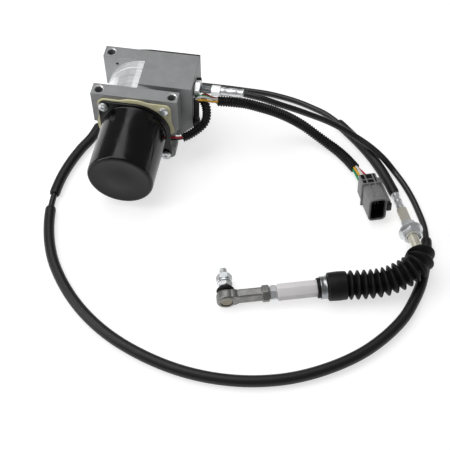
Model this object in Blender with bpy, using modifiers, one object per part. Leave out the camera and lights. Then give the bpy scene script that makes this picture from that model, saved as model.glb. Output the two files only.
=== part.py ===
# Engine governor actuator: a gear motor on a cast housing works a long control cable, whose far
# end carries a rubber bellows, a hexagon adjuster rod and a ball joint. A harness leaves beside it.
# Drawn in millimetres about the motor axis: X to the right along the feet, Y away from the motor, Z up.
import bpy
import bmesh
from math import acos, asin, atan2, ceil, cos, degrees, pi, radians, sin, sqrt, tan
from mathutils import Matrix, Vector

mm = 0.001
gap = 0.3 * mm  # between pieces that touch

# Cast housing: plates, flange and feet are all set round the barrel
barrelRadius = 40 * mm
barrelStep = 0.6 * mm  # raised band next to the rear plate
barrelStepLength = 9 * mm
flangeRadius = barrelRadius + 1 * mm
axisHeight = flangeRadius + 0.5 * mm  # motor axis above the table
footHeight = 2 * axisHeight
plateWidth = 2 * (flangeRadius + 3 * mm)
plateDrop = 39 * mm  # from the foot face down to the plate's lower edge
plateThickness = 14.8 * mm
plateSpacing = 55.2 * mm  # front face to front face, also the bolt spacing
padOuter = flangeRadius - 1.5 * mm
padInner = flangeRadius - 19 * mm
padHeight = 20 * mm
padCorner = 8 * mm
boltInset = 6.9 * mm
boltRadius = 4.2 * mm
boltDepth = 20 * mm
countersink = 1.0 * mm
tapRadius = 1.6 * mm
tapDepth = 8 * mm
tapInset = 14 * mm
tapDrop = 9.4 * mm
wall = 3 * mm
webFront = 23 * mm  # the web between motor side and gear chamber
webThickness = 6 * mm

# Box that holds the output gears
boxLeft = 0.4 * mm
boxRight = 54.7 * mm
boxFront = 20.3 * mm
boxKnee = 29 * mm  # height where the right wall turns under
boxSlope = 15.2 * mm
boxPocket = 9.7 * mm  # width of the pocket inside the right wall

# Motor
canRadius = 32.5 * mm
canTaper = 0.5 * mm
canLength = 73 * mm
canWall = 1.8 * mm
canRound = 3 * mm
motorFlangeHalf = canRadius + 3.7 * mm
motorFlangeThickness = 3 * mm
motorFlangeCorner = 7 * mm
gasketThickness = 1.6 * mm
gasketRadius = motorFlangeHalf + 3.8 * mm
gasketEar = 6.5 * mm
gasketMargin = 1.3 * mm
screwPitch = 2 * (motorFlangeHalf - 5.6 * mm)
screwRadius = 2.5 * mm
screwHead = 4.9 * mm
screwHeadHeight = 3.2 * mm
screwLength = 10 * mm
pilotRadius = 29.5 * mm
pilotLength = 3 * mm
motorBearingRadius = 9.5 * mm
motorBearingWidth = 5 * mm
motorShaftRadius = 4 * mm
magnetLength = 40 * mm
magnetThickness = 3.4 * mm
coreRadius = 26.2 * mm
coreLength = 36 * mm
coreSlots = 10
commutatorRadius = 11 * mm
commutatorLength = 8 * mm
brushWidth = 5 * mm
brushLength = 9 * mm

# Gears, all of one module
module = 1 * mm
pressureAngle = radians(25)
toothSlack = 0.12 * mm
sunTeeth = 12
planetTeeth = 18
planetCount = 3
planetWidth = 10 * mm
planetPinRadius = 2.5 * mm
ringOuter = 29.5 * mm
ringWidth = 12.6 * mm
carrierRadius = 21 * mm
carrierThickness = 4.2 * mm
carrierShaftRadius = 6 * mm
carrierBearingRadius = 11 * mm
driveTeeth = 16
outputTeeth = 32
gearWidth = 8 * mm
pinionTeeth = 20
pinionRadius = module * pinionTeeth / 2
outputShaftRadius = 4 * mm
rackWidth = 8 * mm
rackBack = 8 * mm  # rack's height above its pitch line
rackSocket = 8 * mm  # depth of the hole that takes the cable's core
rackGrip = 4 * mm  # rack on either side of the pinion at the ends of its travel
cableTravel = 26 * mm
guideLength = 28 * mm
guideHeight = 7.5 * mm  # cast guide between the rack and the roof
outputRise = footHeight - axisHeight - wall - guideHeight - rackBack - pinionRadius

# Rear cover and sensor
coverThickness = 2 * mm
sensorRadius = 11 * mm
sensorLength = 9 * mm

# Cable fitting on the right wall
cableY = webFront + webThickness + 8 * mm
cableHeight = axisHeight + outputRise + pinionRadius + 4.5 * mm
wireRadius = 1 * mm
wireBore = 1.4 * mm
studRadius = 4 * mm
studOutside = 17 * mm
studNutAcross = 15.5 * mm
studNutWidth = 6 * mm
swivelAcross = 10 * mm
swivelLength = 9.4 * mm
ferruleRadius = 4.4 * mm
ferruleLength = 33 * mm  # swivel hexagon and crimped tube
plugRadius = 4 * mm
plugStep = 14 * mm  # breather behind the cable
plugDrop = 3 * mm
sensorSleeveRadius = 3.1 * mm
sensorStep = 12.4 * mm  # sensor lead in front of the cable
sensorDrop = 7.4 * mm  # its sleeve ends this far below the cable

# Cable
conduitRadius = 3.2 * mm
sleeveRadius = 5.4 * mm
sleeveWall = 1.8 * mm

# Far end of the cable
farStart = Vector((269.8, -17.6, 5.8)) * mm
farAim = Vector((0.283, -0.938, 0.200)).normalized()
farFerruleLength = 21 * mm
farFerruleRadius = 4 * mm
farTubeRadius = 4.9 * mm
farTubeLength = 53 * mm
lockWasherRadius = 9 * mm
lockWasherWidth = 2.2 * mm
lockWasherAt = 47 * mm
nutFlangeRadius = 12 * mm
nutFlangeWidth = 2.6 * mm
farNutAcross = 17 * mm
farNutWidth = 8.5 * mm

# Ball joint, rod and bellows, set out along the rod from the ball's centre
ballCentre = Vector((120.2, -169.2, 9.4)) * mm
rodAim = Vector((0.967, 0.250, 0.045)).normalized()
housingRadius = 9.3 * mm
housingFront = 6 * mm  # from the ball's centre to the plugged face
housingBack = 4.2 * mm
socketRadius = 5.65 * mm
socketDepth = 0.8 * mm
socketMouth = 3.6 * mm
ballRadius = 4 * mm
neckThick = 2.4 * mm
shankRadius = 6.2 * mm
collarAt = 33.4 * mm
collarAcross = 15 * mm
collarWidth = 7.2 * mm
jamNutAcross = 13 * mm
jamNutWidth = 6.3 * mm
rodAcross = 14 * mm
rodLength = 46 * mm
rodThreadRadius = 4 * mm
studLength = 32 * mm
studThreadRadius = 4 * mm
studHexAcross = 13 * mm
studHexWidth = 5 * mm
bootRadius = 8.6 * mm
bootLength = 6.4 * mm
bootClear = 1 * mm  # room for the boot to tilt
springWasherRadius = 7.2 * mm
springWasherWidth = 2 * mm
ballNutAcross = 13 * mm
ballNutWidth = 6.5 * mm
bellowsRadius = 13.4 * mm
bellowsRoot = 9.6 * mm
bellowsWall = 1.2 * mm
bellowsAt = 66 * mm  # its mouth, from the start of the far ferrule
bellowsFolds = 12
cuffRadius = 13.3 * mm
cuffLength = 18.5 * mm
neckRadius = 9.7 * mm
neckLength = 9.6 * mm
neckOverlap = 8.5 * mm  # of the neck over the rod's end
clampInset = 3.2 * mm
clampWidth = 6 * mm
clampThickness = 1.1 * mm

# Harness
loomRadius = 5 * mm
loomWall = 1 * mm
leadRadius = 1.05 * mm
wireOrbit = 2.1 * mm  # wires about the loom's middle
motorWireOrbit = 1.7 * mm
shellWidth = 24 * mm
shellHeight = 17 * mm
shellLength = 54 * mm
shellWall = 1.8 * mm
shellRear = 19 * mm
mouthDepth = 26 * mm
ridgeGrow = 2.5 * mm  # the ridge round the shell, wider than the shell
ridgeWidth = 6 * mm
railRise = 2.4 * mm
railLength = 23 * mm
clipLength = 11 * mm
clipThickness = 3 * mm
contactSpacing = 4.4 * mm
contactHole = 1.2 * mm
connectorAt = Vector((231.2 * mm, 1.5 * mm, (shellHeight + ridgeGrow) / 2))
connectorTurn = -66

# The control cable's route, from the housing to the far fitting
cableRoute = [(105.6, 37, 69), (118, 36.4, 68), (132, 34.8, 65.2), (160, 36, 56), (180, 39.6, 45.5),
              (197, 42.4, 36), (215, 41.8, 26.5), (230, 38.2, 20), (243, 31.2, 17), (254, 24.6, 12.6),
              (262.4, 18.6, 7.6), (269.4, 12.4, 4.2), (277, 2, 3.4), (285, -12, 3.4), (293, -30, 3.4),
              (299.5, -49, 4), (302.4, -62, 5.5), (303, -76, 5.5), (303.2, -90, 5.5), (302, -106, 5.5),
              (299, -125, 5.5), (293, -144, 5.5), (281.5, -168.5, 5.5), (258, -197.5, 5.5),
              (230.5, -219.5, 5.5), (196.5, -237.5, 5.5), (162.5, -247.5, 5.5), (128.5, -251, 5.5),
              (93, -248.5, 5.5), (56, -239, 5.5), (20, -223, 5.5), (-11, -201, 5.5), (-36, -174.5, 5.5),
              (-55, -145, 5.5), (-67, -112, 5.5), (-71.5, -86, 5.5), (-72.5, -66, 5.5),
              (-69.3, -37, 5.5), (-61.8, -9.7, 5.5), (-53, 13, 5.5), (-49.4, 34, 5.5), (-47.6, 56, 4.2),
              (-41.4, 77, 3.4), (-27, 93, 3.4), (-4, 102, 3.4), (32, 107.5, 3.4), (71, 108.5, 3.4),
              (97, 108, 3.4), (126, 106.6, 3.4), (156.5, 100, 3.4), (178, 91, 4), (196, 80, 5.5),
              (209.5, 67.5, 5.5), (222.5, 54.3, 5.5), (236, 39, 5.5), (249.5, 20.6, 5.5),
              (261.5, -0.5, 5.5), (269.4, -16.6, 5.7)]
conduitPointCount = 76
# Stretches of the route that carry a thick sleeve, as shares of its length
sleeveStretches = [(0.2, 0.614), (0.627, 0.693), (0.92, 0.987)]

mainLoomRoute = [(79, 31.6, 57.4), (90, 33.6, 56.4), (104, 38.2, 52.8), (118, 42.6, 47.6), (131, 46, 41),
                 (145, 49.2, 33), (158, 51, 24.5), (169, 50.8, 17.5), (180, 48.4, 11.5), (191, 43.6, 7.2),
                 (201, 37.6, 5.3), (211.5, 28.6, 5.1), (218.5, 21, 5.1), (224, 14.3, 5.1)]
motorLoomRoute = [(68.6, 29.4, 54), (69.6, 28.2, 49.6), (69.4, 25.8, 44.4), (67.6, 22, 38.6), (64.2, 17, 33.8),
                  (59.2, 10.8, 31), (53.4, 4.4, 30), (47.6, 0.2, 30.4)]
bellowsRoute = [(288.4, -79.6, 18.9), (291.2, -88.8, 21.2), (294.4, -97.6, 23.4), (295.4, -105.4, 24.4),
                (292.6, -113.2, 23.8), (286.6, -119.8, 22.1), (278, -126, 19.8), (268.2, -131.3, 17.4),
                (256.8, -135.2, 15.5), (243, -138.4, 14.7), (229.2, -141.1, 14.4), (211.8, -145.5, 13.7),
                (202.4, -147.95, 13.2)]
# The wires leave the loom along this line and spread to the connector, measured from its back
harnessExit = [(-4.4, 9.1, -3.65), (-2.4, 5.5, -1.35), (-1.4, 3.2, 0)]
harnessSpread = 1.7
mainLoomPointCount = 13
motorLoomPointCount = 7
# The sensor's wires, measured from the top of its sleeve
sensorWires = {
    "wire_white": [(-1.4, -0.6, 1.9), (3.1, -0.4, 5), (13.1, 4.2, 0.2)],
    "wire_yellow": [(2.1, -2.6, 1.4), (6.7, -1.4, 1.6), (14.1, 2.4, -2.7)],
    "wire_green": [(1.3, 1.2, 1.4), (5.3, 3.6, 2), (13.7, 7, -1.6)],
}
# The motor's wires, measured from the can's right side, then between the looms from the sleeve's top
motorWires = {
    "wire_red": ([(1.9, -3, -13.7), (6.1, -1.6, -12.7), (10.5, 0.6, -11.5)], [(10.3, 2.8, -4.6), (13.9, 4, -5.2)]),
    "wire_black": ([(1.7, -3, -17.7), (6.1, -1.2, -16.3), (10.9, 3.6, -12.9)], [(9.7, 6.4, -4.2), (13.5, 7.8, -4.8)]),
}
wireOrder = ["wire_white", "wire_yellow", "wire_red", "wire_black", "wire_green"]

modelCollection = None
cutterCollection = None
sharedMaterials = {}


def clearScene():
    for obj in list(bpy.data.objects):
        bpy.data.objects.remove(obj, do_unlink=True)


def makeCollections():
    global modelCollection, cutterCollection
    modelCollection = bpy.data.collections.new("governor_actuator")
    cutterCollection = bpy.data.collections.new("cutters")
    bpy.context.scene.collection.children.link(modelCollection)
    bpy.context.scene.collection.children.link(cutterCollection)


def material(name, colour, metallic, roughness):
    if name not in sharedMaterials:
        made = bpy.data.materials.new(name)
        made.use_nodes = True
        shader = made.node_tree.nodes["Principled BSDF"]
        shader.inputs["Base Color"].default_value = (*colour, 1)
        shader.inputs["Metallic"].default_value = metallic
        shader.inputs["Roughness"].default_value = roughness
        sharedMaterials[name] = made
    return sharedMaterials[name]


def castAluminium():
    return material("cast_aluminium", (0.42, 0.42, 0.42), 0.8, 0.5)


def blackPaint():
    return material("black_paint", (0.012, 0.012, 0.013), 0.1, 0.25)


def sealant():
    return material("sealant", (0.78, 0.74, 0.42), 0, 0.55)


def zincSteel():
    return material("zinc_steel", (0.62, 0.62, 0.58), 0.95, 0.3)


def gearSteel():
    return material("gear_steel", (0.35, 0.36, 0.38), 1, 0.35)


def bearingSteel():
    return material("bearing_steel", (0.6, 0.6, 0.62), 1, 0.2)


def blackRubber():
    return material("black_rubber", (0.02, 0.02, 0.02), 0, 0.7)


def blackPlastic():
    return material("black_plastic", (0.015, 0.015, 0.016), 0, 0.4)


def greyPlastic():
    return material("grey_plastic", (0.2, 0.2, 0.2), 0, 0.5)


def copper():
    return material("copper", (0.72, 0.36, 0.2), 1, 0.35)


def ferrite():
    return material("ferrite", (0.05, 0.05, 0.055), 0.1, 0.6)


def drawnAluminium():
    return material("drawn_aluminium", (0.74, 0.7, 0.7), 0.9, 0.35)


def greySteel():
    return material("grey_steel", (0.26, 0.26, 0.255), 0.9, 0.45)


def creamPlastic():
    return material("cream_plastic", (0.75, 0.7, 0.55), 0, 0.45)


def wireColour(name):
    colours = {"wire_green": (0.02, 0.3, 0.12), "wire_yellow": (0.85, 0.45, 0.03), "wire_white": (0.8, 0.8, 0.78),
               "wire_red": (0.65, 0.03, 0.05), "wire_black": (0.012, 0.012, 0.012)}
    return material(name, colours[name], 0, 0.4)


def linkMesh(name, mesh, collection=None):
    obj = bpy.data.objects.new(name, mesh)
    (collection or modelCollection).objects.link(obj)
    return obj


def bake(obj, flatten=False):
    # Replace an object's data by its evaluated mesh with its caps welded; flatten joins faces in one plane.
    bpy.context.view_layer.update()
    evaluated = obj.evaluated_get(bpy.context.evaluated_depsgraph_get())
    mesh = bpy.data.meshes.new_from_object(evaluated)
    made = bmesh.new()
    made.from_mesh(mesh)
    bmesh.ops.remove_doubles(made, verts=made.verts, dist=0.00001)
    if flatten:
        bmesh.ops.dissolve_limit(made, angle_limit=radians(0.1), verts=made.verts, edges=made.edges)
    made.to_mesh(mesh)
    made.free()
    mesh.materials.clear()
    name = obj.name
    matrix = obj.matrix_world.copy()
    owners = list(obj.users_collection)
    bpy.data.objects.remove(obj, do_unlink=True)
    result = linkMesh(name, mesh, owners[0])
    result.matrix_world = matrix
    return result


def finish(obj, name, paint, sharp=35):
    obj.name = name
    obj.data.name = name
    obj.data.materials.clear()
    obj.data.materials.append(paint)
    obj.data.shade_smooth()
    obj.data.set_sharp_from_angle(angle=radians(sharp))
    return obj


def boolean(target, tools, operation, solver):
    for tool in tools:
        change = target.modifiers.new(operation.lower(), "BOOLEAN")
        change.operation = operation
        change.solver = solver
        change.object = tool
    target = bake(target, True)
    for tool in tools:
        bpy.data.objects.remove(tool, do_unlink=True)
    return target


def unite(target, tools, solver="EXACT"):
    return boolean(target, tools, "UNION", solver)


def cut(target, tools, solver="EXACT"):
    return boolean(target, tools, "DIFFERENCE", solver)


def arc(x, z, radius, start, end, steps):
    turns = [radians(start + (end - start) * i / steps) for i in range(steps + 1)]
    return [(x + radius * cos(turn), z + radius * sin(turn)) for turn in turns]


def circle(x, z, radius, steps):
    return arc(x, z, radius, 0, 360, steps)[:-1]


def outline(loops, depth, back, name="outline"):
    # A flat outline in the XZ plane, drawn out along Y from back - depth to back.
    curve = bpy.data.curves.new(name, "CURVE")
    curve.dimensions = "2D"
    curve.fill_mode = "BOTH"
    curve.extrude = depth / 2
    for loop in loops:
        spline = curve.splines.new("POLY")
        spline.points.add(len(loop) - 1)
        for point, (x, z) in zip(spline.points, loop):
            point.co = (x, z, 0, 1)
        spline.use_cyclic_u = True
    obj = bpy.data.objects.new(name, curve)
    cutterCollection.objects.link(obj)
    obj.rotation_euler = (pi / 2, 0, 0)
    obj.location = (0, back - depth / 2, 0)
    return bake(obj)


def turned(profile, start, aim, steps=28, closed=False, name="turned"):
    # A solid of revolution: profile holds (radius, distance along aim), from the near end to the far end.
    mesh = bpy.data.meshes.new(name)
    made = bmesh.new()
    verts = [made.verts.new((radius, 0, height)) for radius, height in reversed(profile)]
    for first, second in zip(verts, verts[1:]):
        made.edges.new((first, second))
    if closed:
        made.edges.new((verts[-1], verts[0]))
    made.to_mesh(mesh)
    made.free()
    obj = linkMesh(name, mesh, cutterCollection)
    screw = obj.modifiers.new("screw", "SCREW")
    screw.axis = "Z"
    screw.steps = steps
    screw.render_steps = steps
    screw.use_merge_vertices = True
    screw.merge_threshold = 0.00001
    screw.use_smooth_shade = False
    place(obj, start, aim)
    return bake(obj)


def ring(outer, inner, length, start, aim, steps=20):
    return turned([(outer, 0), (outer, length), (inner, length), (inner, 0)], start, aim, steps, closed=True)


def disc(radius, length, start, aim, steps=20):
    return turned([(0, 0), (radius, 0), (radius, length), (0, length)], start, aim, steps)


def place(obj, start, aim, spin=0):
    turn = Vector(aim).to_track_quat("Z", "Y").to_matrix().to_4x4()
    obj.matrix_world = Matrix.Translation(Vector(start)) @ turn @ Matrix.Rotation(radians(spin), 4, "Z")


def hexagon(across, length, start, aim, spin=0):
    mesh = bpy.data.meshes.new("hexagon")
    made = bmesh.new()
    corner = across / sqrt(3)
    bmesh.ops.create_cone(made, cap_ends=True, segments=6, radius1=corner, radius2=corner, depth=length)
    bmesh.ops.translate(made, verts=made.verts, vec=(0, 0, length / 2))
    made.to_mesh(mesh)
    made.free()
    obj = linkMesh("hexagon", mesh, cutterCollection)
    place(obj, start, aim, spin)
    return obj


def block(low, high, name="block"):
    mesh = bpy.data.meshes.new(name)
    made = bmesh.new()
    bmesh.ops.create_cube(made, size=1)
    size = Vector(high) - Vector(low)
    middle = (Vector(high) + Vector(low)) / 2
    bmesh.ops.scale(made, verts=made.verts, vec=size)
    bmesh.ops.translate(made, verts=made.verts, vec=middle)
    made.to_mesh(mesh)
    made.free()
    return linkMesh(name, mesh, cutterCollection)


def bevelled(obj, width, segments=2, limit=40):
    bevel = obj.modifiers.new("bevel", "BEVEL")
    bevel.width = width
    bevel.segments = segments
    bevel.limit_method = "ANGLE"
    bevel.angle_limit = radians(limit)
    return bake(obj)


def tied(route, start=None, end=None, reach=12):
    # The route with its ends brought to where the fittings stand; the change fades along it.
    first = Vector(start) / mm - Vector(route[0]) if start else Vector()
    last = Vector(end) / mm - Vector(route[-1]) if end else Vector()
    steps = len(route) - 1
    fade = min(reach, steps)
    return [Vector(point) + first * max(0, 1 - index / fade) + last * max(0, 1 - (steps - index) / fade)
            for index, point in enumerate(route)]


def smoothRoute(route, count):
    # Evenly spaced points on a smooth curve through a route's own points.
    points = [Vector(point) * mm for point in route]
    points = [points[0] * 2 - points[1]] + points + [points[-1] * 2 - points[-2]]
    dense = []
    for before, first, second, after in zip(points, points[1:], points[2:], points[3:]):
        for step in range(16):
            t = step / 16
            dense.append(0.5 * (2 * first + (second - before) * t
                                + (2 * before - 5 * first + 4 * second - after) * t * t
                                + (3 * first - before - 3 * second + after) * t * t * t))
    dense.append(points[-2])
    reach = [0]
    for first, second in zip(dense, dense[1:]):
        reach.append(reach[-1] + (second - first).length)
    even = []
    index = 0
    for number in range(count):
        target = reach[-1] * number / (count - 1)
        while index < len(reach) - 2 and reach[index + 1] < target:
            index += 1
        share = (target - reach[index]) / (reach[index + 1] - reach[index])
        even.append(dense[index].lerp(dense[index + 1], min(share, 1)))
    return even


def tube(points, radius, caps=True, sides=2, name="tube"):
    curve = bpy.data.curves.new(name, "CURVE")
    curve.dimensions = "3D"
    curve.bevel_depth = radius
    curve.bevel_resolution = sides
    curve.use_fill_caps = caps
    spline = curve.splines.new("POLY")
    spline.points.add(len(points) - 1)
    for point, spot in zip(spline.points, points):
        point.co = (*spot, 1)
    obj = bpy.data.objects.new(name, curve)
    cutterCollection.objects.link(obj)
    return bake(obj)


# Housing

def plateOutline():
    half = plateWidth / 2
    low = footHeight - plateDrop
    shoulder = degrees(asin((low - axisHeight) / flangeRadius))
    padTop = degrees(asin((axisHeight - padHeight) / flangeRadius))
    padInside = degrees(acos(padInner / flangeRadius))
    left = [(-half, footHeight), (-half, low)]
    left += arc(0, axisHeight, flangeRadius, 180 - shoulder, 180 + padTop, 5)
    left += [(-padOuter, padHeight - (padOuter - flangeRadius * cos(radians(padTop))))]
    left += arc(-padOuter + padCorner, padCorner, padCorner, 180, 270, 4)
    left += [(-padInner, 0)]
    left += arc(0, axisHeight, flangeRadius, 180 + padInside, 270, 4)
    right = [(-x, z) for x, z in reversed(left[:-1])]
    return left + right


def boxOutline(inset=0):
    # The output box seen from the front; inset is the wall thickness inside it.
    slant = inset * tan(radians(22.5))
    low = boxKnee - boxSlope
    return [(boxLeft + inset, footHeight - inset), (boxRight - inset, footHeight - inset),
            (boxRight - inset, boxKnee + slant), (boxRight - boxSlope - slant, low + inset),
            (boxLeft + inset, low + inset)]


def rearFace():
    return plateSpacing + plateThickness


def motorScrewPlaces():
    half = screwPitch / 2
    return [(-half, axisHeight + half, True), (half, axisHeight + half, False),
            (half, axisHeight - half, True), (-half, axisHeight - half, False)]


def outputPlace():
    distance = module * (driveTeeth + outputTeeth) / 2
    return sqrt(distance ** 2 - outputRise ** 2), axisHeight + outputRise


def drill(radius, x, z, front, back, steps=24):
    return disc(radius, back - front, (x, front, z), (0, 1, 0), steps)


def footHole(x, y):
    profile = [(0, 0), (boltRadius, 0), (boltRadius, boltDepth - countersink),
               (boltRadius + countersink + 1 * mm, boltDepth + 1 * mm), (0, boltDepth + 1 * mm)]
    return turned(profile, (x, y, footHeight - boltDepth), (0, 0, 1), 16)


def buildHousing():
    back = rearFace()
    body = outline([plateOutline()], plateThickness, plateThickness)
    rear = outline([plateOutline()], plateThickness, back)
    barrel = disc(barrelRadius, back - plateThickness, (0, plateThickness / 2, axisHeight), (0, 1, 0), 40)
    band = disc(barrelRadius + barrelStep, barrelStepLength + plateThickness / 2,
                (0, plateSpacing - barrelStepLength, axisHeight), (0, 1, 0), 40)
    box = outline([boxOutline()], back - boxFront, back)
    body = unite(body, [rear, barrel, band, box], "MANIFOLD")
    chamber = webFront + webThickness
    outX, outZ = outputPlace()
    left, right = rackEnds()
    cutters = [
        drill(pilotRadius + gap, 0, axisHeight, -1 * mm, webFront, 28),
        drill(carrierBearingRadius + gap, 0, axisHeight, webFront - 1 * mm, chamber + 1 * mm, 24),
        drill(barrelRadius - wall, 0, axisHeight, chamber, back + 1 * mm, 28),
        outline([boxOutline(wall)], back + 1 * mm - chamber, back + 1 * mm),
        block((boxRight - wall - boxPocket, boxFront + wall, boxKnee),
              (boxRight - wall, chamber + 1 * mm, footHeight - wall)),
        block((left - gap, cableY - rackWidth / 2 - gap, rackPitchHeight()),
              (right + gap, cableY + rackWidth / 2 + gap, rackPitchHeight() + rackBack + gap)),
        drill(outputShaftRadius + gap, outX, outZ, webFront + 2 * mm, chamber + 1 * mm, 20),
        disc(studRadius + gap, wall + 2 * mm, (boxRight - wall - 1 * mm, cableY, cableHeight), (1, 0, 0), 24),
        disc(sensorSleeveRadius, wall + 2 * mm, (boxRight - wall - 1 * mm, *grommetPlace()), (1, 0, 0), 20),
        disc(plugRadius - 1 * mm, wall + 2 * mm, (boxRight - wall - 1 * mm, *plugPlace()), (1, 0, 0), 20),
        drill(tapRadius, tapInset - plateWidth / 2, footHeight - tapDrop, plateSpacing - 1 * mm,
              plateSpacing + tapDepth, 12),
    ]
    side = plateWidth / 2 - boltInset
    middle = plateThickness / 2
    cutters += [footHole(-side, middle), footHole(side, middle), footHole(-side, middle + plateSpacing)]
    cutters += [drill(screwRadius + gap, x, z, -1 * mm, screwLength + 2 * mm, 12)
                for x, z, _ in motorScrewPlaces()]
    body = cut(body, cutters, "MANIFOLD")
    low = rackPitchHeight() + rackBack + gap
    guide = block((outX - guideLength / 2, cableY - rackWidth / 2, low),
                  (outX + guideLength / 2, cableY + rackWidth / 2, footHeight - wall / 2))
    return finish(unite(body, [guide], "MANIFOLD"), "housing", castAluminium())


def plugPlace():
    return cableY + plugStep, cableHeight - plugDrop


def grommetPlace():
    return cableY - sensorStep, boxKnee + 6 * mm


def coverOutline():
    low = boxKnee - boxSlope
    meet = degrees(asin((axisHeight - low) / flangeRadius))
    return ([(boxRight, boxKnee), (boxRight, footHeight), (boxLeft + 2 * mm, footHeight)]
            + arc(0, axisHeight, flangeRadius, 91, 360 - meet, 20) + [(boxRight - boxSlope, low)])


def coverFront():
    return rearFace() + gap


def buildCover():
    cover = outline([coverOutline()], coverThickness, coverFront() + coverThickness)
    return finish(bevelled(cover, 0.5 * mm, 1), "rear_cover", blackPaint())


def screw(x, seat, z, radius, head, headHeight, length, facing):
    # A round-head screw whose head sits at y = seat and whose shank runs the other way from facing.
    profile = [(0, -length), (radius, -length), (radius, 0), (head, 0), (head, headHeight * 0.45),
               (head * 0.82, headHeight * 0.85), (head * 0.5, headHeight), (0, headHeight)]
    return turned(profile, (x, seat, z), (0, facing, 0), 12)


# Motor

def flangeFront():
    return -(gasketThickness + 2 * gap + motorFlangeThickness)


def motorFlangeOutline(grow=0):
    # Square corners at two opposite screws, cut round at the other two.
    half = motorFlangeHalf + grow
    radius = motorFlangeHalf + 0.2 * mm + grow
    corner = motorFlangeCorner
    turn = degrees(acos(motorFlangeHalf / (motorFlangeHalf + 0.2 * mm)))
    quarter = arc(-half + corner, half - corner, corner, 180, 90, 4) + arc(0, 0, radius, 90 - turn, turn, 10)
    return [(x, z + axisHeight) for x, z in quarter + [(-x, -z) for x, z in quarter]]


def buildMotorCan():
    front = flangeFront()
    length = canLength + front  # from the flange's front face to the closed end
    base = motorFlangeThickness
    inside = canRadius - canWall
    endRadius = canRadius - canTaper
    rim = arc(endRadius - canRound, length - canRound, canRound, 0, 90, 3)
    shape = [(0, -base / 2), (canRadius, -base / 2)] + rim + [(0, length)]
    cup = turned(shape, (0, front, axisHeight), (0, -1, 0), 40)
    flange = outline([motorFlangeOutline()], base, front + base)
    floor = length - canWall
    seat = floor - motorBearingWidth
    boss = motorBearingRadius + gap
    cavity = [(0, -base - 1 * mm), (inside, -base - 1 * mm), (inside, 0), (inside - canTaper, floor),
              (boss + 2 * mm, floor), (boss + 2 * mm, seat), (boss, seat), (boss, floor), (0, floor)]
    cutters = [turned(cavity, (0, front, axisHeight), (0, -1, 0), 28)]
    cutters += [drill(screwRadius + gap, x, z, front - 1 * mm, front + base + 1 * mm, 12)
                for x, z, proud in motorScrewPlaces() if proud]
    return finish(cut(unite(flange, [cup]), cutters), "motor_can", blackPaint())


def gasketOutline():
    half = screwPitch / 2
    square = motorFlangeHalf + gasketMargin
    corner = motorFlangeCorner + gasketMargin
    distance = half * sqrt(2)
    spread = degrees(acos((distance ** 2 + gasketRadius ** 2 - gasketEar ** 2) / (2 * distance * gasketRadius)))
    swing = degrees(acos((distance ** 2 + gasketEar ** 2 - gasketRadius ** 2) / (2 * distance * gasketEar)))
    leave = degrees(acos(square / gasketRadius))
    quarter = arc(-square + corner, square - corner, corner, 180, 90, 4)
    quarter += arc(0, 0, gasketRadius, 90 + leave, 45 + spread, 4)
    quarter += arc(half, half, gasketEar, 45 + 180 - swing, 45 - 180 + swing, 6)
    quarter += arc(0, 0, gasketRadius, 45 - spread, -leave, 4)
    return [(x, z + axisHeight) for x, z in quarter + [(-x, -z) for x, z in quarter]]


def buildMotorGasket():
    back = -gap
    hole = circle(0, axisHeight, pilotRadius + 2 * gap, 28)
    gasket = outline([gasketOutline(), hole], gasketThickness, back)
    holes = [drill(screwRadius + gap, x, z, back - gasketThickness - 1 * mm, back + 1 * mm, 12)
             for x, z, _ in motorScrewPlaces()]
    return finish(cut(gasket, holes), "motor_gasket", sealant())


def buildMotorScrews():
    for number, (x, z, proud) in enumerate(motorScrewPlaces(), 1):
        seat = (flangeFront() if proud else -(gasketThickness + gap)) - gap
        body = screw(x, seat, z, screwRadius, screwHead, screwHeadHeight, screwLength - seat - 2 * mm, -1)
        finish(body, "motor_screw_%d" % number, zincSteel())


def endPlateFront():
    return flangeFront() + 1 * mm


def buildEndCap():
    bore = motorShaftRadius + gap
    step = canRadius - canWall - gap
    back = pilotLength - endPlateFront()
    lip = -(gasketThickness + 2 * gap) - endPlateFront()
    profile = [(bore, 0), (step, 0), (step, lip), (pilotRadius, lip), (pilotRadius, back), (bore, back)]
    cap = turned(profile, (0, endPlateFront(), axisHeight), (0, 1, 0), 32, closed=True)
    return finish(cap, "motor_end_cap", blackPlastic())


def buildMotorBearing():
    closed = -canLength + canWall + gap
    width = motorBearingWidth - gap
    bearing = ring(motorBearingRadius, motorShaftRadius + gap, width, (0, closed, axisHeight), (0, 1, 0))
    return finish(bearing, "motor_bearing", bearingSteel())


def coreMiddle():
    return -canLength * 0.56


def buildMagnet():
    outer = canRadius - canWall - canTaper - gap
    start = coreMiddle() - magnetLength / 2
    magnet = ring(outer, outer - magnetThickness, magnetLength, (0, start, axisHeight), (0, 1, 0), 32)
    return finish(magnet, "ring_magnet", ferrite())


def commutatorBack():
    return endPlateFront() - gap


def buildBrushes():
    back = commutatorBack()
    reach = commutatorRadius + gap
    for number, side in enumerate((1, -1), 1):
        ends = sorted((side * reach, side * (reach + brushLength)))
        brush = block((ends[0], back - brushWidth, axisHeight - brushWidth / 2),
                      (ends[1], back, axisHeight + brushWidth / 2))
        finish(brush, "brush_%d" % number, ferrite())


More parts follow.
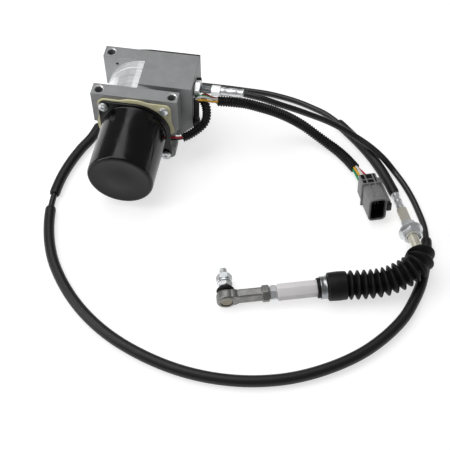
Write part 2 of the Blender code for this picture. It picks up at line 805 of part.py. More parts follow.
def buildArmatureCore():
    slot = 2.2 * mm
    depth = 7 * mm
    loop = []
    for number in range(coreSlots):
        centre = 360 / coreSlots * (number + 0.5)
        mouth = degrees(asin(slot / 2 / coreRadius))
        floor = degrees(asin(slot / 2 / (coreRadius - depth)))
        before = 360 / coreSlots * number
        loop += arc(0, axisHeight, coreRadius, centre - 360 / coreSlots + mouth, centre - mouth, 4)
        loop += arc(0, axisHeight, coreRadius - depth, centre - floor, centre + floor, 1)
    bore = circle(0, axisHeight, motorShaftRadius + gap, 20)
    core = outline([loop, bore], coreLength, coreMiddle() + coreLength / 2)
    return finish(core, "armature_core", gearSteel())


def buildCommutator():
    start = (0, commutatorBack(), axisHeight)
    bars = ring(commutatorRadius, motorShaftRadius + gap, commutatorLength, start, (0, -1, 0), 24)
    return finish(bars, "commutator", copper())


# Gears

def involute(angle):
    return tan(angle) - angle


def toothedLoop(teeth, tip, root, slack, phase, x=0, z=0):
    pitch = teeth * module / 2
    base = pitch * cos(pressureAngle)
    half = (pi * module / 2 - slack) / 2 / pitch
    start = max(root, base)

    def halfAngle(radius):
        return half + involute(pressureAngle) - involute(acos(min(1, base / radius)))

    flank = [(root, halfAngle(start)), (tip, halfAngle(tip))]
    loop = []
    for number in range(teeth):
        centre = radians(phase) + 2 * pi * number / teeth
        loop += [(radius, centre - width) for radius, width in flank]
        loop += [(radius, centre + width) for radius, width in reversed(flank)]
    return [(x + radius * cos(turn), z + radius * sin(turn)) for radius, turn in loop]


def gearBlank(teeth, width, back, phase, x, z, bore=0):
    pitch = teeth * module / 2
    loops = [toothedLoop(teeth, pitch + 0.9 * module, pitch - 1.25 * module, toothSlack, phase, x, z)]
    if bore:
        loops.append(circle(x, z, bore, 16))
    return outline(loops, width, back)


def planetFront():
    return pilotLength + 2.5 * mm


def buildMotorShaft():
    rearEnd = -canLength + canWall + 2 * gap
    gearBack = planetFront() + planetWidth
    shaft = disc(motorShaftRadius, gearBack - 1 * mm - rearEnd, (0, rearEnd, axisHeight), (0, 1, 0), 20)
    sun = gearBlank(sunTeeth, planetWidth, gearBack, 0, 0, axisHeight)
    return finish(unite(sun, [shaft]), "motor_shaft", gearSteel())


def ringTeeth():
    return sunTeeth + 2 * planetTeeth


def buildRingGear():
    teeth = ringTeeth()
    pitch = teeth * module / 2
    phase = 180 / teeth
    space = toothedLoop(teeth, pitch + 1.25 * module, pitch - 0.9 * module, -toothSlack, phase, 0, axisHeight)
    back = pilotLength + 2 * gap + ringWidth
    gear = outline([circle(0, axisHeight, ringOuter, 32), space], ringWidth, back)
    return finish(gear, "ring_gear", gearSteel())


def planetPlaces():
    orbit = module * (sunTeeth + planetTeeth) / 2
    turns = [radians(90 + 360 / planetCount * number) for number in range(planetCount)]
    return [(orbit * cos(turn), axisHeight + orbit * sin(turn)) for turn in turns]


def buildPlanets():
    back = planetFront() + planetWidth
    for number, (x, z) in enumerate(planetPlaces(), 1):
        turn = 90 + 360 / planetCount * (number - 1)
        sunTooth = (turn * sunTeeth / 360) % 1
        phase = turn + 180 - 360 * (0.5 - sunTooth) / planetTeeth
        gear = gearBlank(planetTeeth, planetWidth, back, phase, x, z, planetPinRadius + gap)
        finish(gear, "planet_gear_%d" % number, gearSteel())


def carrierFront():
    return planetFront() + planetWidth + 1.4 * mm


def driveBack():
    return rearFace() - 16 * mm


def driveDirection():
    x, z = outputPlace()
    return degrees(atan2(z - axisHeight, x))


def buildCarrier():
    front = carrierFront()
    plate = disc(carrierRadius, carrierThickness, (0, front, axisHeight), (0, 1, 0), 28)
    pins = [drill(planetPinRadius, x, z, planetFront() - 0.5 * mm, front + carrierThickness / 2, 12)
            for x, z in planetPlaces()]
    shaft = drill(carrierShaftRadius, 0, axisHeight, front + carrierThickness / 2, driveBack() - gearWidth / 2, 24)
    gear = gearBlank(driveTeeth, gearWidth, driveBack(), driveDirection(), 0, axisHeight)
    return finish(unite(plate, pins + [shaft, gear]), "planet_carrier", gearSteel())


def buildCarrierBearing():
    bearing = ring(carrierBearingRadius, carrierShaftRadius + gap, webThickness, (0, webFront, axisHeight), (0, 1, 0))
    return finish(bearing, "carrier_bearing", bearingSteel())


def buildOutputShaft():
    x, z = outputPlace()
    phase = driveDirection() + 180 - 180 / outputTeeth
    gear = gearBlank(outputTeeth, gearWidth, driveBack(), phase, x, z)
    pinion = gearBlank(pinionTeeth, rackWidth, cableY + rackWidth / 2, 90, x, z)
    shaft = drill(outputShaftRadius, x, z, webFront + 2.5 * mm, sensorFront() + sensorLength * 0.7, 20)
    return finish(unite(gear, [pinion, shaft]), "output_shaft", gearSteel())


def rackPitchHeight():
    return outputPlace()[1] + pinionRadius


def rackEnds():
    mesh = outputPlace()[0]
    return mesh - rackGrip - cableTravel, mesh + rackGrip


def buildRack():
    mesh = outputPlace()[0]
    left, right = rackEnds()
    level = rackPitchHeight()
    pitch = pi * module
    root = level + 1.25 * module
    tip = level - 0.9 * module
    half = (pitch / 2 - toothSlack) / 2
    wide = half + 1.25 * module * tan(pressureAngle)
    narrow = half - 0.9 * module * tan(pressureAngle)
    first = ceil((left + wide - mesh) / pitch - 0.5)
    loop = [(left, level + rackBack), (left, root)]
    number = first
    while mesh + (number + 0.5) * pitch + wide < right:
        centre = mesh + (number + 0.5) * pitch
        loop += [(centre - wide, root), (centre - narrow, tip), (centre + narrow, tip), (centre + wide, root)]
        number += 1
    loop += [(right, root), (right, level + rackBack)]
    body = outline([loop], rackWidth, cableY + rackWidth / 2)
    hole = disc(wireRadius + gap, rackSocket + 1 * mm, (right - rackSocket, cableY, cableHeight), (1, 0, 0), 12)
    return finish(cut(body, [hole], "MANIFOLD"), "rack", gearSteel())


def buildCoreWire():
    start = rackEnds()[1] - rackSocket + gap
    end = boxRight + studOutside / 3
    wire = disc(wireRadius, end - start, (start, cableY, cableHeight), (1, 0, 0), 10)
    return finish(wire, "core_wire", bearingSteel())


def sensorFront():
    return coverFront() - gap - sensorLength


def buildSensor():
    x, z = outputPlace()
    front = sensorFront()
    bore = outputShaftRadius + gap
    profile = [(0, sensorLength * 0.8), (bore, sensorLength * 0.8), (bore, 0), (sensorRadius, 0),
               (sensorRadius, sensorLength), (0, sensorLength)]
    body = turned(profile, (x, front, z), (0, 1, 0), 24)
    return finish(body, "position_sensor", blackPlastic())


# Fittings on the right wall

def buildCableStud():
    start = boxRight - wall
    stud = ring(studRadius, wireBore, wall + studOutside, (start, cableY, cableHeight), (1, 0, 0), 24)
    return finish(stud, "cable_stud", zincSteel())


def buildStudNut():
    start = boxRight + gap
    nut = hexagon(studNutAcross, studNutWidth, (start, cableY, cableHeight), (1, 0, 0))
    hole = disc(studRadius + gap, studNutWidth + 2 * mm, (start - 1 * mm, cableY, cableHeight), (1, 0, 0), 24)
    return finish(cut(nut, [hole]), "bulkhead_nut", zincSteel())


def buildFerrule():
    start = boxRight + studOutside + gap
    body = hexagon(swivelAcross, swivelLength, (start, cableY, cableHeight), (1, 0, 0))
    waist = ferruleRadius * 0.93
    long = ferruleLength
    profile = [(0, swivelLength / 2), (ferruleRadius, swivelLength / 2), (ferruleRadius, swivelLength + 4 * mm),
               (waist, swivelLength + 5 * mm), (waist, swivelLength + 9 * mm),
               (ferruleRadius, swivelLength + 10 * mm),
               (ferruleRadius, long - 7 * mm), (waist, long - 6 * mm), (waist, long - 2 * mm),
               (ferruleRadius, long - 1 * mm), (ferruleRadius, long), (0, long)]
    shell = turned(profile, (start, cableY, cableHeight), (1, 0, 0), 16)
    bore = disc(wireBore, cableTravel, (start - 1 * mm, cableY, cableHeight), (1, 0, 0), 12)
    return finish(cut(unite(body, [shell]), [bore]), "cable_ferrule", zincSteel())


def buildPlug():
    y, z = plugPlace()
    neck = plugRadius - 1.3 * mm
    profile = [(0, -wall - gap), (neck, -wall - gap), (neck, gap), (plugRadius, gap),
               (plugRadius, 3.4 * mm), (plugRadius - 1 * mm, 4.4 * mm), (0, 4.4 * mm)]
    return finish(turned(profile, (boxRight, y, z), (1, 0, 0), 20), "breather_plug", blackRubber())


def buildSensorSleeve():
    # A moulded rubber elbow: a plug through the wall with the sleeve rising from it.
    y, z = grommetPlace()
    neck = sensorSleeveRadius - gap
    long = gap + 2 * sensorSleeveRadius
    profile = [(0, -wall), (neck, -wall), (neck, gap), (sensorSleeveRadius + 1 * mm, gap),
               (sensorSleeveRadius + 1 * mm, long - 1 * mm), (sensorSleeveRadius, long), (0, long)]
    elbow = turned(profile, (boxRight, y, z), (1, 0, 0), 20)
    low, top = Vector((boxRight + gap + sensorSleeveRadius, y, z)), sleeveTop()
    route = [low.lerp(top, share) / mm for share in (0, 0.33, 0.7, 1)]
    sleeve = tube(smoothRoute(route, 6), sensorSleeveRadius - 0.2 * mm, sides=3)
    return finish(unite(elbow, [sleeve]), "sensor_sleeve", blackRubber())


def sleeveTop():
    x = boxRight + gap + sensorSleeveRadius + 0.2 * mm
    return Vector((x, cableY - sensorStep + 0.8 * mm, cableHeight - sensorDrop))


# Cable

def routeLength(points):
    return sum((second - first).length for first, second in zip(points, points[1:]))


def conduitLine():
    start = Vector((boxRight + studOutside + ferruleLength + 3 * gap, cableY, cableHeight))
    return smoothRoute(tied(cableRoute, start, alongFar(-1.1 * mm)), conduitPointCount)


def buildConduit():
    return finish(tube(conduitLine(), conduitRadius), "cable_conduit", blackPlastic())


def hollowTube(points, radius, thickness, name, paint, sides=2):
    shell = tube(points, radius, caps=False, sides=sides)
    surface = bmesh.new()
    surface.from_mesh(shell.data)
    bmesh.ops.recalc_face_normals(surface, faces=surface.faces)
    surface.faces.ensure_lookup_table()
    face = surface.faces[0]
    nearest = min(points, key=lambda point: (point - face.calc_center_median()).length)
    if face.normal.dot(face.calc_center_median() - nearest) < 0:
        bmesh.ops.reverse_faces(surface, faces=surface.faces)
    surface.to_mesh(shell.data)
    surface.free()
    solidify = shell.modifiers.new("wall", "SOLIDIFY")
    solidify.thickness = thickness
    solidify.offset = -1
    return finish(bake(shell), name, paint)


def buildSleeves():
    points = conduitLine()
    for number, (first, last) in enumerate(sleeveStretches, 1):
        run = points[round(first * (conduitPointCount - 1)):round(last * (conduitPointCount - 1)) + 1]
        hollowTube(run, sleeveRadius, sleeveWall, "cable_sleeve_%d" % number, blackPlastic())


def alongFar(distance):
    return farStart + farAim * distance


def buildFarFerrule():
    waist = farFerruleRadius * 0.9
    profile = [(0, 0), (farFerruleRadius, 0), (farFerruleRadius, 2 * mm), (waist, 3 * mm), (waist, 8 * mm),
               (farFerruleRadius, 9 * mm), (farFerruleRadius, 12 * mm), (waist, 13 * mm), (waist, 17 * mm),
               (farFerruleRadius, 18 * mm), (farFerruleRadius, farFerruleLength), (0, farFerruleLength)]
    return finish(turned(profile, alongFar(0), farAim, 14), "far_ferrule", zincSteel())


def buildFarTube():
    start = farFerruleLength + gap
    radius = farTubeRadius
    bore = wireBore + gap
    profile = [(0, 0), (radius - 0.5 * mm, 0), (radius, 0.8 * mm), (radius, farTubeLength - 0.8 * mm),
               (radius - 0.6 * mm, farTubeLength), (bore, farTubeLength), (bore, 6 * mm), (0, 6 * mm)]
    return finish(turned(profile, alongFar(start), farAim, 20), "far_tube", zincSteel())


def buildLockWasher():
    washer = ring(lockWasherRadius, farTubeRadius + gap, lockWasherWidth, alongFar(lockWasherAt), farAim, 32)
    return finish(washer, "lock_washer", zincSteel())


def buildFlangeNut():
    start = lockWasherAt + lockWasherWidth + gap
    inner = farTubeRadius + gap
    hexPart = hexagon(farNutAcross, farNutWidth, alongFar(start + nutFlangeWidth * 0.5), farAim, 12)
    profile = [(0, 0), (nutFlangeRadius, 0), (nutFlangeRadius, nutFlangeWidth * 0.5),
               (farNutAcross * 0.5, nutFlangeWidth * 1.6), (0, nutFlangeWidth * 1.6)]
    flange = turned(profile, alongFar(start), farAim, 32)
    bore = disc(inner, farNutWidth + 6 * mm, alongFar(start - 1 * mm), farAim, 24)
    return finish(cut(unite(flange, [hexPart]), [bore]), "flange_nut", zincSteel())


def alongRod(distance):
    return ballCentre + rodAim * distance


def foldProfile(length):
    # Half section of the bellows: outside from the fitting to the rod, then back along the inside.
    mouth = farTubeRadius + 2 * gap
    folds = length - neckLength - cuffLength
    start = 3 * mm
    pitch = (folds - start) / bellowsFolds
    outside = [(mouth + bellowsWall, 0), (bellowsRoot, start * 0.7)]
    for number in range(bellowsFolds):
        low = start + number * pitch
        outside += [(bellowsRoot, low), (bellowsRadius, low + pitch * 0.36), (bellowsRadius, low + pitch * 0.64)]
    cuffEnd = folds + cuffLength
    outside += [(bellowsRoot, folds), (cuffRadius - 1 * mm, folds + 0.6 * mm), (cuffRadius, folds + 2 * mm),
                (cuffRadius, cuffEnd - 1.5 * mm), (cuffRadius - 1.2 * mm, cuffEnd), (neckRadius, cuffEnd),
                (neckRadius, length)]
    rodInner = rodAcross / sqrt(3) + gap
    inside = [(rodInner, length), (rodInner, folds + 1 * mm), (bellowsRoot - bellowsWall, folds)]
    for number in reversed(range(bellowsFolds)):
        low = start + number * pitch
        inside += [(bellowsRadius - bellowsWall, low + pitch * 0.5), (bellowsRoot - bellowsWall, low)]
    return outside + inside + [(mouth, start * 0.7), (mouth, 0)]


def bellowsEnd():
    return rodStart() + rodLength - neckOverlap


def bellowsLine():
    return tied(bellowsRoute, alongFar(bellowsAt), alongRod(bellowsEnd()))


def buildBellows():
    points = smoothRoute(bellowsLine(), 60)
    length = routeLength(points)
    curve = bpy.data.curves.new("bellows_path", "CURVE")
    curve.dimensions = "3D"
    spline = curve.splines.new("POLY")
    spline.points.add(len(points) - 1)
    for point, spot in zip(spline.points, points):
        point.co = (*spot, 1)
    path = bpy.data.objects.new("bellows_path", curve)
    cutterCollection.objects.link(path)
    straight = turned(foldProfile(length), (0, 0, 0), (0, 0, 1), 12, closed=True)
    bend = straight.modifiers.new("bend", "CURVE")
    bend.object = path
    bend.deform_axis = "POS_Z"
    bellows = bake(straight)
    bpy.data.objects.remove(path, do_unlink=True)
    return finish(bellows, "bellows", blackRubber())


def buildFarCore():
    points = smoothRoute(bellowsLine()[:-1] + [alongRod(bellowsEnd() + 3 * mm) / mm], 18)
    return finish(tube(points, wireRadius), "far_core", bearingSteel())


def rodStart():
    return collarAt + collarWidth + jamNutWidth + 2 * gap


def buildBandClamp():
    at = bellowsEnd() + clampInset
    clamp = ring(neckRadius + gap + clampThickness, neckRadius + gap, clampWidth, alongRod(at), rodAim, 28)
    return finish(clamp, "band_clamp", zincSteel())


def buildRod():
    start = rodStart()
    rod = hexagon(rodAcross, rodLength, alongRod(start), rodAim, 8)
    thread = disc(rodThreadRadius, 16 * mm, alongRod(start - 15 * mm), rodAim, 20)
    bore = disc(wireRadius + gap, 12 * mm, alongRod(start + rodLength - 8 * mm), rodAim, 12)
    rod = bevelled(rod, 0.5 * mm, 1)
    return finish(cut(unite(rod, [thread]), [bore]), "adjuster_rod", drawnAluminium())


def buildJamNut():
    start = collarAt + collarWidth + gap
    nut = hexagon(jamNutAcross, jamNutWidth, alongRod(start), rodAim, 20)
    bore = disc(rodThreadRadius + gap, jamNutWidth + 2 * mm, alongRod(start - 1 * mm), rodAim, 20)
    return finish(cut(nut, [bore]), "jam_nut", zincSteel())


def studAim():
    # Square to the rod and level, away from the motor end.
    level = Vector((rodAim.x, rodAim.y, 0)).normalized()
    return Vector((-level.y, level.x, 0))


def alongStud(distance):
    return ballCentre + studAim() * distance


def buildRodEnd():
    front = -housingFront
    back = housingBack
    round1 = 2.2 * mm
    radius = housingRadius
    profile = [(0, front), (radius - round1, front), (radius - 0.6 * mm, front + 0.8 * mm), (radius, front + round1),
               (radius, back - round1), (radius - 0.6 * mm, back - 0.8 * mm), (radius - round1, back), (0, back)]
    body = turned(profile, alongStud(0), studAim(), 24)
    taper = turned([(0, 0), (shankRadius * 0.72, 0), (shankRadius, 12 * mm), (shankRadius, collarAt - 4 * mm),
                    (0, collarAt - 4 * mm)], alongRod(5 * mm), rodAim, 16)
    collar = hexagon(collarAcross, collarWidth, alongRod(collarAt), rodAim, 22)
    thread = disc(rodThreadRadius + gap, 16 * mm, alongRod(collarAt + collarWidth - 15 * mm), rodAim, 16)
    seat = ballRadius + gap
    floor = -ballRadius - gap
    socket = [(0, front - 1 * mm), (socketRadius + gap, front - 1 * mm), (socketRadius + gap, floor), (seat, floor)]
    socket += [(seat * cos(radians(turn)), seat * sin(radians(turn))) for turn in (0, 18)]
    socket += [(socketMouth, sqrt(seat ** 2 - socketMouth ** 2)), (socketMouth, back + 1 * mm), (0, back + 1 * mm)]
    cavity = turned(socket, alongStud(0), studAim(), 20)
    return finish(cut(unite(body, [taper, collar]), [thread, cavity]), "rod_end", greySteel())


def buildSocketPlug():
    front = -housingFront + socketDepth
    plug = disc(socketRadius, -ballRadius - gap - front, alongStud(front), studAim(), 24)
    return finish(plug, "socket_plug", creamPlastic())


def studHexStart():
    return housingBack + bootLength


def buildBallStud():
    # A ball, its neck, a hexagon collar and the thread, turned about the stud's own axis.
    profile = [(0, -ballRadius)]
    for turn in range(-70, 51, 20):
        profile.append((ballRadius * cos(radians(turn)), ballRadius * sin(radians(turn))))
    start = studHexStart()
    profile += [(neckThick, ballRadius * 0.84), (neckThick, start), (studThreadRadius, start),
                (studThreadRadius, studLength - 1 * mm), (studThreadRadius - 1 * mm, studLength), (0, studLength)]
    body = turned(profile, alongStud(0), studAim(), 16)
    hexPart = hexagon(studHexAcross, studHexWidth, alongStud(start - 0.01 * mm), studAim(), 10)
    return finish(unite(body, [hexPart]), "ball_stud", zincSteel())


def buildBoot():
    start = housingBack + bootClear
    end = studHexStart() - gap
    inner = neckThick + gap
    profile = [(inner, start), (bootRadius - 2.6 * mm, start), (bootRadius, start + 2 * mm),
               (bootRadius - 1 * mm, start + 3.4 * mm), (inner + 1.8 * mm, end), (inner, end)]
    return finish(turned(profile, alongStud(0), studAim(), 24, closed=True), "dust_boot", blackRubber())


def studHexEnd():
    return studHexStart() + studHexWidth


def buildSpringWasher():
    washer = ring(springWasherRadius, studThreadRadius + gap, springWasherWidth, alongStud(studHexEnd() + gap),
                  studAim(), 24)
    return finish(washer, "stud_washer", zincSteel())


def buildBallNut():
    start = studHexEnd() + springWasherWidth + 2 * gap
    nut = hexagon(ballNutAcross, ballNutWidth, alongStud(start), studAim(), 25)
    bore = disc(studThreadRadius + gap, ballNutWidth + 2 * mm, alongStud(start - 1 * mm), studAim(), 20)
    return finish(cut(nut, [bore]), "stud_nut", zincSteel())


# Harness

def mainLoomLine():
    start = Vector((boxRight + 24.3 * mm, cableY - 5.4 * mm, cableHeight - 11.6 * mm))
    end = connectorAt + Vector((-7.2, 12.8, -4.65)) * mm
    return smoothRoute(tied(mainLoomRoute, start, end), mainLoomPointCount)


def motorLoomLine():
    start = Vector((boxRight + 13.9 * mm, cableY - 7.6 * mm, cableHeight - 15 * mm))
    end = Vector((canRadius + 15.1 * mm, 0.2 * mm, axisHeight - 11.1 * mm))
    return smoothRoute(tied(motorLoomRoute, start, end), motorLoomPointCount)


def buildLooms():
    hollowTube(mainLoomLine(), loomRadius, loomWall, "main_loom", blackPlastic())
    hollowTube(motorLoomLine(), loomRadius, loomWall, "motor_loom", blackPlastic())


def insideLoom(points, turn, orbit, normal, exits=()):
    # One wire's line inside a loom: a place of its own round the loom's middle, kept all along it.
    line = []
    for index, point in enumerate(points):
        ahead = (points[min(index + 1, len(points) - 1)] - points[max(index - 1, 0)]).normalized()
        normal = (normal - ahead * normal.dot(ahead)).normalized()
        offset = normal * cos(turn) + ahead.cross(normal) * sin(turn)
        line.append(point + offset * orbit)
    for number, spot in enumerate(exits, 1):
        spread = 1 + (harnessSpread - 1) * number / len(exits)
        line.append(connectorAt + Vector(spot) * mm + offset * orbit * spread)
    return line


def leadIn(offsets, start):
    points = [start / mm + Vector(point) for point in offsets]
    return smoothRoute(points, len(points) + 1)


def buildWires():
    side = Vector((canRadius, flangeFront(), axisHeight))
    for number, name in enumerate(wireOrder):
        if name in sensorWires:
            line = leadIn(sensorWires[name], sleeveTop())
        else:
            start, between = motorWires[name]
            line = leadIn(start, side)
            turn = pi * (name == "wire_black")
            line += reversed(insideLoom(motorLoomLine(), turn, motorWireOrbit, Vector((0, -1, 0))))
            line += [sleeveTop() + Vector(point) * mm for point in between]
        turn = 2 * pi * number / len(wireOrder)
        line += insideLoom(mainLoomLine(), turn, wireOrbit, Vector((0, 0, 1)), harnessExit)
        finish(tube(line, leadRadius), name, wireColour(name))


def connectorMatrix():
    return Matrix.Translation(connectorAt) @ Matrix.Rotation(radians(connectorTurn), 4, "Z")


def shellBlock(start, end, width, height, round1=0):
    part = block((start, -width / 2, -height / 2), (end, width / 2, height / 2))
    if round1:
        part = bevelled(part, round1, 2)
    part.matrix_world = connectorMatrix() @ part.matrix_world
    return part


def buildConnectorShell():
    middle = shellRear + 1 * mm
    rear = shellBlock(0, shellRear, shellWidth + 1 * mm, shellHeight, 1.5 * mm)
    ridge = shellBlock(middle - ridgeWidth / 2, middle + ridgeWidth / 2, shellWidth + 2 * ridgeGrow,
                       shellHeight + ridgeGrow, 1.5 * mm)
    front = shellBlock(middle, shellLength, shellWidth, shellHeight, 2.4 * mm)
    side = shellWidth / 2
    rail = block((middle, side - 1 * mm, -2.5 * mm), (middle + railLength, side + railRise, 4.5 * mm))
    rail.matrix_world = connectorMatrix()
    inside = shellLength - mouthDepth
    width, height = shellWidth - 2 * shellWall, shellHeight - 2 * shellWall
    mouth = shellBlock(inside, shellLength + 5 * mm, width, height, 1.6 * mm)
    tunnel = shellBlock(-2 * mm, inside + 1 * mm, width, height)
    return finish(cut(unite(rear, [ridge, front, rail]), [mouth, tunnel]), "connector_shell", greyPlastic())


def buildConnectorCarrier():
    # The black block that holds the contacts: flush behind, standing free in the mouth.
    clear = shellWall + gap
    inside = shellLength - mouthDepth
    end = shellLength - 6 * mm
    base = shellBlock(-1.4 * mm, inside, shellWidth - 2 * clear, shellHeight - 2 * clear)
    nose = shellBlock(inside - 1 * mm, end, shellWidth - 9 * mm, shellHeight - 8 * mm, 0.8 * mm)
    holes = []
    for row in (-1, 1):
        for column in (-1, 0, 1):
            start = (end - 12 * mm, column * contactSpacing, row * contactSpacing * 0.5)
            hole = disc(contactHole, 14 * mm, start, (1, 0, 0), 10)
            hole.matrix_world = connectorMatrix() @ hole.matrix_world
            holes.append(hole)
    return finish(cut(unite(base, [nose]), holes), "contact_carrier", blackPlastic())


def buildConnectorClip():
    side = shellWidth / 2 + railRise + gap
    start = shellRear + railLength / 2
    clip = block((start, side, -2 * mm), (start + clipLength, side + clipThickness, 4 * mm))
    clip = bevelled(clip, 0.8 * mm, 1)
    clip.matrix_world = connectorMatrix()
    return finish(clip, "connector_clip", blackPlastic())


def setOrigin(name, spot):
    # Put a moving piece's origin on its joint axis without moving the piece.
    obj = bpy.data.objects[name]
    obj.data.transform(Matrix.Translation(-Vector(spot)) @ obj.matrix_world)
    obj.matrix_world = Matrix.Translation(Vector(spot))


def centreOnTable():
    # The model's origin lies under the middle of the actuator body, on the table.
    left = -plateWidth / 2
    right = boxRight + gap + 2 * sensorSleeveRadius
    front = -canLength
    back = coverFront() + coverThickness
    shift = Vector((left + right, front + back, 0)) / -2
    bpy.context.view_layer.update()
    for obj in list(cutterCollection.objects):
        cutterCollection.objects.unlink(obj)
        modelCollection.objects.link(obj)
    for obj in modelCollection.objects:
        obj.matrix_world = Matrix.Translation(shift) @ obj.matrix_world


def setOrigins():
    x, z = outputPlace()
    for name in ("motor_shaft", "armature_core", "commutator", "planet_carrier"):
        setOrigin(name, (0, 0, axisHeight))
    for number, (planetX, planetZ) in enumerate(planetPlaces(), 1):
        setOrigin("planet_gear_%d" % number, (planetX, planetFront(), planetZ))
    setOrigin("output_shaft", (x, cableY, z))
    for name in ("ball_stud", "dust_boot", "stud_washer", "stud_nut"):
        setOrigin(name, ballCentre)


def build():
    clearScene()
    makeCollections()
    for make in (buildHousing, buildCover, buildMotorCan, buildMotorGasket, buildMotorScrews, buildEndCap,
                 buildMotorBearing, buildMagnet, buildBrushes, buildArmatureCore, buildCommutator, buildMotorShaft,
                 buildRingGear, buildPlanets, buildCarrier, buildCarrierBearing, buildOutputShaft, buildRack,
                 buildCoreWire, buildSensor, buildCableStud, buildStudNut, buildFerrule, buildPlug,
                 buildSensorSleeve, buildConduit, buildSleeves, buildFarFerrule, buildFarTube, buildLockWasher,
                 buildFlangeNut, buildBellows, buildFarCore, buildBandClamp, buildRod, buildJamNut, buildRodEnd,
                 buildSocketPlug, buildBallStud, buildBoot, buildSpringWasher, buildBallNut, buildLooms, buildWires,
                 buildConnectorShell, buildConnectorCarrier, buildConnectorClip):
        make()
    setOrigins()
    centreOnTable()
    print("objects", len(bpy.data.objects))


build()
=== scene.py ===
# Look of an engine governor actuator: painted gear motor on a cast body, long control cable with a
# bellows and a ball joint, and a short harness. Lengths are in millimetres until place() makes them metres.
from math import acos, cos, degrees, pi, radians, sin, sqrt
import bpy
import bmesh
from mathutils import Matrix, Vector


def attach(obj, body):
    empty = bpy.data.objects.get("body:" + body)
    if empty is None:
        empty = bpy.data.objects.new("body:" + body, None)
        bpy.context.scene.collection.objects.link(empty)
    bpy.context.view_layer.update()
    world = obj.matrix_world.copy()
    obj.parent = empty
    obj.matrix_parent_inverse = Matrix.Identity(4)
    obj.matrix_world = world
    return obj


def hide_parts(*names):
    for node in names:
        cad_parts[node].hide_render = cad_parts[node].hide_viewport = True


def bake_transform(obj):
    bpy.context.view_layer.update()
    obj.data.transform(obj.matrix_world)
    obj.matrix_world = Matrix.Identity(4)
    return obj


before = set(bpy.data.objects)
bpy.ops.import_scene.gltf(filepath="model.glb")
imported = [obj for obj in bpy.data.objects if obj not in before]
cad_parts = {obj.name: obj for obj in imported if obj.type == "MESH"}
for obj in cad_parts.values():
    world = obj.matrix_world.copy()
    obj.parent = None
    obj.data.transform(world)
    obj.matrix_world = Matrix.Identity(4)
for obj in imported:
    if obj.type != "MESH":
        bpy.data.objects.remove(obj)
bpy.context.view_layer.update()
print("frame loaded:", len(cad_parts), "nodes")

mm = 0.001
shiftX, shiftY = -8.6, 0.35  # from the motor axis to the model's origin


def place(point):
    return Vector(((point[0] + shiftX) * mm, (point[1] + shiftY) * mm, point[2] * mm))


def addObject(name, data):
    thing = bpy.data.objects.new(name, data)
    bpy.context.scene.collection.objects.link(thing)
    return thing


def pointAt(thing, target):
    # Turns a camera or a lamp towards a point.
    thing.rotation_euler = (target - thing.location).to_track_quat("-Z", "Y").to_euler()


# Camera, as it stood for the photograph
cameraSetup = {"from": (190.1, -611.7, 720.8), "at": (104.6, -79.06, 0), "lens": 72, "sensor": 36,
               "clip": 0.01}


def addCamera():
    data = bpy.data.cameras.new("photoCamera")
    data.lens = cameraSetup["lens"]
    data.sensor_width = cameraSetup["sensor"]
    data.clip_start = cameraSetup["clip"]
    camera = addObject("photoCamera", data)
    camera.location = place(cameraSetup["from"])
    pointAt(camera, place(cameraSetup["at"]))
    bpy.context.scene.camera = camera


addCamera()


# Pieces and meshes

def newPiece(name, mesh, paint, body, node, smooth=40):
    # One piece with its finish, which moves with its body and stands for its solid.
    piece = addObject(name, mesh)
    mesh.materials.clear()
    mesh.materials.append(paint)
    mesh.shade_smooth()
    mesh.set_sharp_from_angle(angle=radians(smooth))
    if body:
        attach(piece, body)
    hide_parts(node)
    return piece


def meshFrom(made, name):
    bmesh.ops.recalc_face_normals(made, faces=made.faces)
    mesh = bpy.data.meshes.new(name)
    made.to_mesh(mesh)
    made.free()
    return mesh


def shaped(thing):
    # The mesh that an object's modifiers make of it; the object goes away.
    bpy.context.view_layer.update()
    made = bpy.data.meshes.new_from_object(thing.evaluated_get(bpy.context.evaluated_depsgraph_get()))
    bpy.data.objects.remove(thing)
    return made


def boolean(mesh, other, operation):
    # One mesh cut or joined by another.
    workpiece, cutter = addObject("workpiece", mesh), addObject("cutter", other)
    change = workpiece.modifiers.new("shape", "BOOLEAN")
    change.operation = operation
    change.solver = "EXACT"
    change.object = cutter
    made = shaped(workpiece)
    bpy.data.objects.remove(cutter)
    return made


def softened(mesh, width, segments, limit=35):
    # Rounds the edges that are sharper than the limit in degrees.
    thing = addObject("softened", mesh)
    bevel = thing.modifiers.new("edges", "BEVEL")
    bevel.width = width * mm
    bevel.segments = segments
    bevel.limit_method = "ANGLE"
    bevel.angle_limit = radians(limit)
    return shaped(thing)


def merged(meshes):
    made = bmesh.new()
    for mesh in meshes:
        made.from_mesh(mesh)
    joined = bpy.data.meshes.new("joined")
    made.to_mesh(joined)
    made.free()
    return joined


def standing(start, aim, spin=0):
    # Matrix that stands +Z on a point and turns it to a direction, both as drawn in millimetres.
    turn = Vector(aim).to_track_quat("Z", "Y").to_matrix().to_4x4()
    return Matrix.Translation(place(start)) @ turn @ Matrix.Rotation(radians(spin), 4, "Z")


def arc(x, z, r, start, end, steps):
    return [(x + r * cos(radians(start + (end - start) * i / steps)),
             z + r * sin(radians(start + (end - start) * i / steps))) for i in range(steps + 1)]


def rounded(r, low, high, corner, steps):
    # Outer side of a collar from its lower to its upper end, with rounded rims.
    lower = arc(r - corner, low + corner, corner, -90, 0, steps)
    return lower + arc(r - corner, high - corner, corner, 0, 90, steps)


